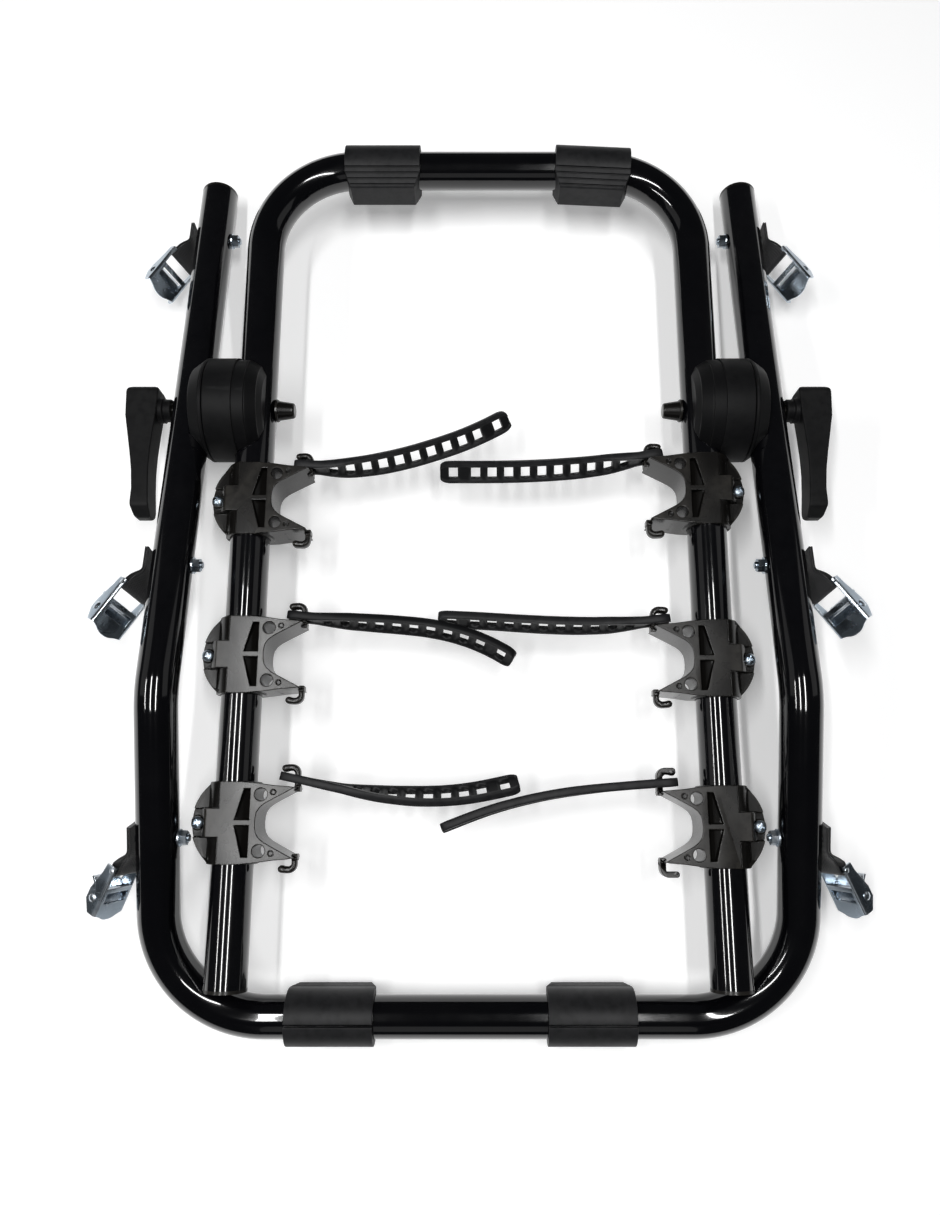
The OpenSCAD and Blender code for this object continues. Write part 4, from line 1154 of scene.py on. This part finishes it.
    def cam(self) -> BMesh:
        """The toothed cam with its thumb plate, bored for the pin."""
        out: list[tuple[float, float]] = []
        for a in range(176, 176 + 292, 4):
            turn = (a + 180) % 360 - 180
            r = self.cam_r + (self.tooth if abs(turn) <= 44 and round(turn / 4) % 2 else 0.0)
            out.append((r * math.cos(math.radians(a)), r * math.sin(math.radians(a))))
        d = math.radians(self.thumb_turn)
        far = self.thumb
        arm = [(5.1, -2.3), (far - 4.5, -2.25), (far - 1.0, -1.5), (far, -0.7), (far - 0.5, 0.5), (far - 4.5, -0.45), (5.6, -0.4)]
        for t, n in arm:
            out.append((t * math.cos(d) - n * math.sin(d), t * math.sin(d) + n * math.cos(d)))
        bm = bmesh.new()
        ring = [bm.verts.new((x + self.pin[0], y + self.pin[1], 0.0)) for x, y in out]
        edges = [bm.edges.new(pair) for pair in zip(ring, ring[1:] + ring[:1])]
        bore = bmesh.ops.create_circle(bm, segments=32, radius=self.pin_r + self.run, cap_ends=False)["verts"]
        bmesh.ops.translate(bm, vec=(*self.pin, 0.0), verts=bore)
        edges += list({e for v in bore for e in v.link_edges})
        bmesh.ops.triangle_fill(bm, use_beauty=True, edges=edges)
        hw = self.width / 2 - self.sheet - self.side_gap
        top = bmesh.ops.extrude_face_region(bm, geom=bm.faces[:], use_keep_orig=True)["geom"]
        lifted = {p for p in top if isinstance(p, BMVert)}
        for point in bm.verts:
            point.co.z = hw if point in lifted else -hw
        close_up(bm)
        round_edges(bm, 0.25, segments=2, angle=60.0)
        return bm


@dataclass
class Hangers:
    """The six webbing loops and their buckles on the outer legs."""

    leg: OuterLeg = field(default_factory=OuterLeg)
    loop: WebbingLoop = field(default_factory=WebbingLoop)
    buckle: StampedBuckle = field(default_factory=StampedBuckle)
    turn: dict[Side, tuple[float, float, float]] = field(
        default_factory=lambda: {Side.LEFT: (28.0, 31.0, 24.0), Side.RIGHT: (30.0, 34.0, 26.0)}
    )
    lean: dict[Side, tuple[float, float, float]] = field(
        default_factory=lambda: {Side.LEFT: (34.0, 32.0, 24.0), Side.RIGHT: (35.0, 34.0, 26.0)}
    )

    def place(self, side: Side, i: int) -> Matrix:
        """The frame of one hanger bolt in the row frame, in millimetres."""
        at = self.leg.at_bolt(i)
        return HINGE @ (flipped() @ at if side is Side.LEFT else at)

    def hung(self, side: Side, i: int) -> Matrix:
        """The frame of one buckle in the row frame, in millimetres."""
        turn, lean = self.turn[side][i], self.lean[side][i]
        return self.place(side, i) @ self.loop.bar(turn) @ turned(turn, "Z") @ turned(lean, "Y") @ flipped()

    def build(self, finishes: dict[Slot, bpy.types.Material]) -> None:
        """Makes and fits the webbing loops, the buckles and their cams.

        Args:
            finishes: The materials by slot.
        """
        for side in Side:
            for i in range(3):
                name = f"{side.word}_{i + 1}"
                bm = self.loop.mesh(self.turn[side][i], self.lean[side][i])
                obj = new_piece(f"webbing_band_{name}", bm, self.place(side, i), finishes[Slot.WEBBING], smooth=60.0)
                fit(obj, f"webbing_{name}", [f"clip_loop_{name}"])
                hung = self.hung(side, i)
                obj = new_piece(f"stamped_buckle_{name}", self.buckle.body(), hung, finishes[Slot.ZINC])
                fit(obj, f"buckle_body_{name}", [f"buckle_{name}"])
                obj = new_piece(f"toothed_cam_{name}", self.buckle.cam(), hung, finishes[Slot.ZINC])
                fit(obj, f"buckle_cam_{name}", [f"cam_{name}"])


# ---------------------------------------------------------------- moulded parts


@dataclass(frozen=True)
class Moulding:
    """How a moulded part is refined from its solid: rounded edges and deeper pockets."""

    slot: Slot
    width: float
    segments: int = 2
    angle: float = 28.0
    smooth: float = 48.0
    matt: bool = False


@dataclass
class MouldedParts:
    """Cradles, hubs, levers and pads: each solid is merged, cut deeper where it is cored, and its edges rounded."""

    nodes: dict[str, bpy.types.Object]
    finishes: dict[Slot, bpy.types.Material]
    matt: bpy.types.Material
    cradle: Moulding = Moulding(Slot.PLASTIC, 0.7)
    hub: Moulding = Moulding(Slot.PLASTIC, 0.45, 3, matt=True)
    lever: Moulding = Moulding(Slot.PLASTIC, 1.3, 3, matt=True)
    pad: Moulding = Moulding(Slot.RUBBER, 0.35)
    leg_x: float = 187.0
    flange_t: float = 8.0
    hook_half: float = 4.5
    cradle_y: dict[Side, tuple[float, ...]] = field(
        default_factory=lambda: {Side.LEFT: (-83.0, -211.0, -339.0), Side.RIGHT: (-74.5, -214.0, -342.0)}
    )

    def _merged(self, node: str) -> BMesh:
        """A copy of a CAD node's mesh in millimetres, merged and with its flat faces made whole."""
        bm = bmesh.new()
        bm.from_mesh(self.nodes[node].data)
        bm.transform(Matrix.Scale(1.0 / MM, 4))
        bmesh.ops.remove_doubles(bm, verts=bm.verts[:], dist=0.003)
        bmesh.ops.dissolve_degenerate(bm, edges=bm.edges[:], dist=0.003)
        bmesh.ops.dissolve_limit(bm, angle_limit=math.radians(0.4), verts=bm.verts[:], edges=bm.edges[:])
        return bm

    @staticmethod
    def _cut(bm: BMesh, tools: Sequence[BMesh], adds: Sequence[BMesh] = ()) -> BMesh:
        """Takes other closed shapes out of a mesh, then adds others to it.

        Args:
            bm: The mesh; it is freed.
            tools: The shapes to take out; they are freed.
            adds: The shapes to add; they are freed.

        Returns:
            The one shape that comes of it.
        """
        scene = bpy.context.scene.collection.objects
        made = []
        for i, shape in enumerate([bm, *tools, *adds]):
            mesh = bpy.data.meshes.new(f"blank_{i}")
            shape.to_mesh(mesh)
            shape.free()
            obj = bpy.data.objects.new(f"blank_{i}", mesh)
            scene.link(obj)
            made.append(obj)
        for i, tool in enumerate(made[1:]):
            cut = made[0].modifiers.new("cut", "BOOLEAN")
            cut.operation = "DIFFERENCE" if i < len(tools) else "UNION"
            cut.solver = "EXACT"
            cut.object = tool
        graph = bpy.context.evaluated_depsgraph_get()
        left = bpy.data.meshes.new_from_object(made[0].evaluated_get(graph))
        result = bmesh.new()
        result.from_mesh(left)
        for obj in made:
            mesh = obj.data
            bpy.data.objects.remove(obj)
            bpy.data.meshes.remove(mesh)
        bpy.data.meshes.remove(left)
        return result

    def _refine(
        self, node: str, name: str, body: str, how: Moulding, tools: Sequence[BMesh] = (), adds: Sequence[BMesh] = ()
    ) -> None:
        """Makes the refined piece of one node.

        Args:
            node: The CAD node it is taken from and stands for.
            name: The new piece's name.
            body: The body it rides on.
            how: Its edges and slot.
            tools: Shapes that are cut out of it first, in the row frame in millimetres.
            adds: Shapes that are then joined to it.
        """
        bm = self._merged(node)
        if tools:
            bm = self._cut(bm, tools, adds)
            bmesh.ops.remove_doubles(bm, verts=bm.verts[:], dist=0.02)
            bmesh.ops.dissolve_degenerate(bm, edges=bm.edges[:], dist=0.02)
        round_edges(bm, how.width, how.segments, how.angle)
        finish = self.matt if how.matt else self.finishes[how.slot]
        fit(new_piece(name, bm, Matrix.Identity(4), finish, smooth=how.smooth), body, [node])

    def _pocket(self, place: Matrix, up: int, side: int) -> BMesh:
        """The core of one triangular pocket, deep beside the jaw and shallow over the tube.

        Args:
            place: The cradle's frame.
            up: 1 for the top face, -1 for the bottom.
            side: 1 for the upper half, -1 for the lower.

        Returns:
            The closed wedge.
        """
        outline = ((4.6, 2.2, 16.9), (14.8, 2.2, 9.6), (14.8, 25.0, 9.6), (10.6, 25.0, 13.6))
        bm = bmesh.new()
        lids = []
        for high in (False, True):
            lids.append([bm.verts.new((x, side * y, up * (19.0 if high else z))) for x, y, z in outline])
            bm.faces.new(lids[-1])
        for i in range(4):
            j = (i + 1) % 4
            bm.faces.new((lids[0][i], lids[0][j], lids[1][j], lids[1][i]))
        bm.transform(place)
        bmesh.ops.recalc_face_normals(bm, faces=bm.faces[:])
        return bm

    def _block(self, place: Matrix, low: tuple[float, float, float], high: tuple[float, float, float]) -> BMesh:
        """A plain block between two corners of a cradle's frame."""
        bm = bmesh.new()
        bmesh.ops.create_cube(bm, size=1.0)
        bmesh.ops.scale(bm, vec=[h - b for b, h in zip(low, high)], verts=bm.verts[:])
        bmesh.ops.translate(bm, vec=[(b + h) / 2 for b, h in zip(low, high)], verts=bm.verts[:])
        bm.transform(place)
        bmesh.ops.recalc_face_normals(bm, faces=bm.faces[:])
        return bm

    def _screw_well(self, place: Matrix) -> BMesh:
        """The well round the boss of the clamp screw, open towards the flange's rim.

        Args:
            place: The cradle's frame.

        Returns:
            The closed shape that is cut away.
        """
        well = self._block(Matrix.Identity(4), (-42.0, -10.4, self.flange_t - 2.6), (-22.4, 10.4, 17.0))
        boss = bmesh.new()
        bmesh.ops.create_cone(boss, cap_ends=True, segments=48, radius1=5.4, radius2=5.4, depth=60.0)
        bmesh.ops.translate(boss, vec=(-26.0, 0.0, 0.0), verts=boss.verts[:])
        well = self._cut(well, [boss])
        well.transform(place)
        bmesh.ops.recalc_face_normals(well, faces=well.faces[:])
        return well

    def _hook(self, place: Matrix, upper: bool) -> BMesh:
        """A strap hook: a rounded bar that curls back from the horn and ends in a bulb.

        Args:
            place: The cradle's frame.
            upper: Whether it is the taller hook of the upper horn.

        Returns:
            The closed hook, its root inside the horn.
        """
        top, bar, curl = (44.2, 2.65, 4.6) if upper else (37.6, 2.65, 4.6)
        middle = (47.35 - curl, top - bar - curl)
        path = [(46.9, 24.7), (47.2, 26.2), (47.35, 28.0), (47.35, middle[1])]
        path += [
            (middle[0] + curl * math.cos(math.radians(a)), middle[1] + curl * math.sin(math.radians(a)))
            for a in range(15, 91, 15)
        ]
        path += [(40.2, top - bar - 0.15), (38.2, top - bar - 0.5), (36.4, top - bar - 1.0), (35.2, top - bar - 1.4)]
        wide = [0.6, 0.84, 0.84, 0.84, 0.88, 0.94, 1.0, 1.0, 1.0, 1.0, 1.0, 1.08, 1.0, 0.45]
        bm = bmesh.new()
        order = bm.verts.layers.int.new("order")
        ring = bmesh.ops.create_circle(bm, segments=28, radius=1.0, cap_ends=False)["verts"]
        edges = bm.edges[:]
        bmesh.ops.contextual_create(bm, geom=edges)
        section = []
        for number, v in enumerate(ring):
            v[order] = number
            turn = math.atan2(v.co.y, v.co.x)
            wide_x = math.copysign(abs(math.cos(turn)) ** 0.75, math.cos(turn)) * bar
            section.append((wide_x, math.copysign(abs(math.sin(turn)) ** 0.6, math.sin(turn)) * self.hook_half))
        for number, ((x, y), size) in enumerate(zip(path, wide)):
            before, after = path[max(number - 1, 0)], path[min(number + 1, len(path) - 1)]
            way = math.atan2(after[1] - before[1], after[0] - before[0])
            if number:
                made = bmesh.ops.extrude_edge_only(bm, edges=edges)["geom"]
                edges = [e for e in made if isinstance(e, bmesh.types.BMEdge)]
                ring = sorted((v for v in made if isinstance(v, BMVert)), key=lambda v: v[order])
            for v, (across, deep) in zip(ring, section):
                out = across * size
                v.co = (x + out * math.sin(way), y - out * math.cos(way), deep * (0.55 + 0.45 * size))
        bmesh.ops.contextual_create(bm, geom=edges)
        if not upper:
            bmesh.ops.scale(bm, vec=(1.0, -1.0, 1.0), verts=bm.verts[:])
        bm.transform(place)
        bmesh.ops.recalc_face_normals(bm, faces=bm.faces[:])
        return bm

    def build(self) -> None:
        """Makes every moulded part."""
        for side in Side:
            for i in range(3):
                place = moved(-self.leg_x, self.cradle_y[side][i], 0)
                place = HINGE @ (flipped() @ place if side is Side.RIGHT else place)
                name = f"{side.word}_{i + 1}"
                tools = [self._pocket(place, up, half) for up in (1, -1) for half in (1, -1)]
                tools += [self._screw_well(place)]
                tools += [self._block(place, (30.0, 27.7, -8.0), (60.0, 60.0, 8.0))]
                tools += [self._block(place, (30.0, -60.0, -8.0), (60.0, -27.7, 8.0))]
                hooks = [self._hook(place, upper) for upper in (True, False)]
                self._refine(f"cradle_{name}", f"bike_cradle_{name}", f"cradle_arm_{name}", self.cradle, tools, hooks)
            word = side.word
            self._refine(f"hub_outer_{word}", f"hub_cap_{word}", "outer_rack", self.hub)
            self._refine(f"hub_inner_{word}", f"hub_barrel_{word}", "inner_rack", self.hub)
            self._refine(f"lever_{word}", f"clamp_handle_{word}", f"clamp_lever_{word}", self.lever)
            self._refine(f"pad_bottom_{word}", f"rubber_foot_{word}", "outer_rack", self.pad)
            self._refine(f"pad_top_{word}", f"rubber_pad_{word}", "inner_rack", self.pad)


# ---------------------------------------------------------------- carried-over CAD nodes


@dataclass(frozen=True)
class Keep:
    """How a group of CAD nodes that stay is dressed."""

    starts: tuple[str, ...]
    slot: Slot
    bevel: float = 0.0
    segments: int = 2


@dataclass
class CarriedOver:
    """CAD nodes whose shape is right: each gets its finish and rounded edges."""

    kinds: tuple[Keep, ...] = (
        Keep(("pivot_bolt",), Slot.PLASTIC, 0.25),
        Keep(("outer_plug", "inner_plug"), Slot.PLASTIC, 0.3),
        Keep(("clip_bolt", "screw_"), Slot.ZINC, 0.2),
    )

    def dress(self, nodes: dict[str, bpy.types.Object], finishes: dict[Slot, bpy.types.Material]) -> None:
        """Gives every node that stays its material and its rounded edges.

        Args:
            nodes: The CAD nodes by name.
            finishes: The materials by slot.
        """
        for name, obj in nodes.items():
            kind = next((k for k in self.kinds if name.startswith(k.starts)), None)
            if kind is None:
                continue
            obj.data.materials.clear()
            obj.data.materials.append(finishes[kind.slot])
            if kind.bevel:
                self._round(obj, kind)
            log.info("%s keeps its solid", name)

    @staticmethod
    def _round(obj: bpy.types.Object, kind: Keep) -> None:
        """Adds live modifiers that merge the loose triangles and round the edges.

        Args:
            obj: The CAD node's object.
            kind: Its dressing.
        """
        weld = obj.modifiers.new("merged", "WELD")
        weld.merge_threshold = 0.00001
        bevel = obj.modifiers.new("rounded", "BEVEL")
        bevel.width = kind.bevel * MM
        bevel.segments = kind.segments
        bevel.limit_method = "ANGLE"
        bevel.angle_limit = math.radians(28)
        bevel.use_clamp_overlap = True
        bevel.harden_normals = False
        smooth = obj.modifiers.new("even", "WEIGHTED_NORMAL")
        smooth.keep_sharp = True


# ---------------------------------------------------------------- studio


@dataclass
class Studio:
    """Camera, floor and lights, as the photograph was taken."""

    camera_at: tuple[float, float, float] = (0.0, -0.2085, 0.7876)
    camera_tilt: float = 12.6
    lens: float = 27.6
    shift: float = -0.0072
    tubes_x: tuple[float, ...] = (-1.9, -0.62, 0.36)
    tubes_y: float = -0.165
    tubes_z: float = 2.1
    tube_width: float = 0.11
    tube_length: float = 1.27
    tube_power: float = 20.0
    soft_power: float = 2.5

    def camera(self) -> None:
        """Stands the camera where the photographer stood."""
        data = bpy.data.cameras.new("camera")
        data.lens = self.lens
        data.sensor_width = 36.0
        data.sensor_fit = "AUTO"
        data.shift_x = self.shift
        data.clip_start, data.clip_end = 0.05, 50.0
        obj = bpy.data.objects.new("camera", data)
        obj.location = self.camera_at
        obj.rotation_euler = (math.radians(self.camera_tilt), 0.0, 0.0)
        bpy.context.scene.collection.objects.link(obj)
        bpy.context.scene.camera = obj

    def floor(self) -> None:
        """Lays a plain pale floor under the rack."""
        bm = bmesh.new()
        bmesh.ops.create_grid(bm, x_segments=1, y_segments=1, size=1.0)
        bmesh.ops.scale(bm, vec=(9.0, 9.0, 1.0), verts=bm.verts[:])
        mesh = bpy.data.meshes.new("floor")
        bm.to_mesh(mesh)
        bm.free()
        material = bpy.data.materials.new("pale_floor")
        material.use_nodes = True
        shader = material.node_tree.nodes["Principled BSDF"]
        shader.inputs["Base Color"].default_value = (0.88, 0.88, 0.88, 1.0)
        shader.inputs["Emission Color"].default_value = (1.0, 1.0, 1.0, 1.0)
        shader.inputs["Emission Strength"].default_value = 0.3
        shader.inputs["Roughness"].default_value = 0.85
        shader.inputs["Specular IOR Level"].default_value = 0.1
        mesh.materials.append(material)
        obj = bpy.data.objects.new("floor", mesh)
        obj.location.z = -0.0005
        bpy.context.scene.collection.objects.link(obj)

    def _light(self, name: str, at: tuple[float, float, float], size: tuple[float, float], power: float) -> bpy.types.Object:
        """One rectangular light that looks straight down.

        Args:
            name: Its name.
            at: Its place, in metres.
            size: Its width and length.
            power: Its strength, in watts.

        Returns:
            The light's object.
        """
        data = bpy.data.lights.new(name, "AREA")
        data.shape = "RECTANGLE"
        data.size, data.size_y = size
        data.energy = power
        obj = bpy.data.objects.new(name, data)
        obj.location = at
        bpy.context.scene.collection.objects.link(obj)
        return obj

    def lights(self) -> None:
        """Hangs three long tube lights overhead and a soft light on either side."""
        for i, x in enumerate(self.tubes_x):
            at = (x, self.tubes_y, self.tubes_z)
            self._light(f"tube_light_{i + 1}", at, (self.tube_width, self.tube_length), self.tube_power)
        for i, (x, y) in enumerate(((-2.6, 0.6), (2.6, 0.6), (0.0, -2.8))):
            obj = self._light(f"soft_light_{i + 1}", (x, y, 1.7), (1.6, 1.6), self.soft_power)
            aim = Vector((0.0, 0.0, 0.0)) - obj.location
            obj.rotation_euler = aim.to_track_quat("-Z", "Y").to_euler()
        world = bpy.data.worlds.new("studio")
        world.use_nodes = True
        back = world.node_tree.nodes["Background"]
        back.inputs[0].default_value = (0.9, 0.95, 1.0, 1.0)
        back.inputs[1].default_value = 0.035
        bpy.context.scene.world = world
        bpy.context.scene.view_settings.view_transform = "Standard"


def main() -> None:
    """Builds the rack's pieces in order and reports each."""
    logging.basicConfig(level=logging.INFO, format="%(name)s: %(message)s")
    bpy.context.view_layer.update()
    studio = Studio()
    studio.camera()
    studio.floor()
    studio.lights()
    effects = Effects()
    finishes = {slot: finish.dress(effects) for slot, finish in FINISHES.items()}
    CarriedOver().dress(frame["nodes"], finishes)
    TubeFrames().build(finishes[Slot.PAINT])
    MouldedParts(frame["nodes"], finishes, MATT_PLASTIC.dress(effects)).build()
    StrapRow().build(finishes[Slot.RUBBER])
    Hangers().build(finishes)


if __name__ == "__main__":
    main()
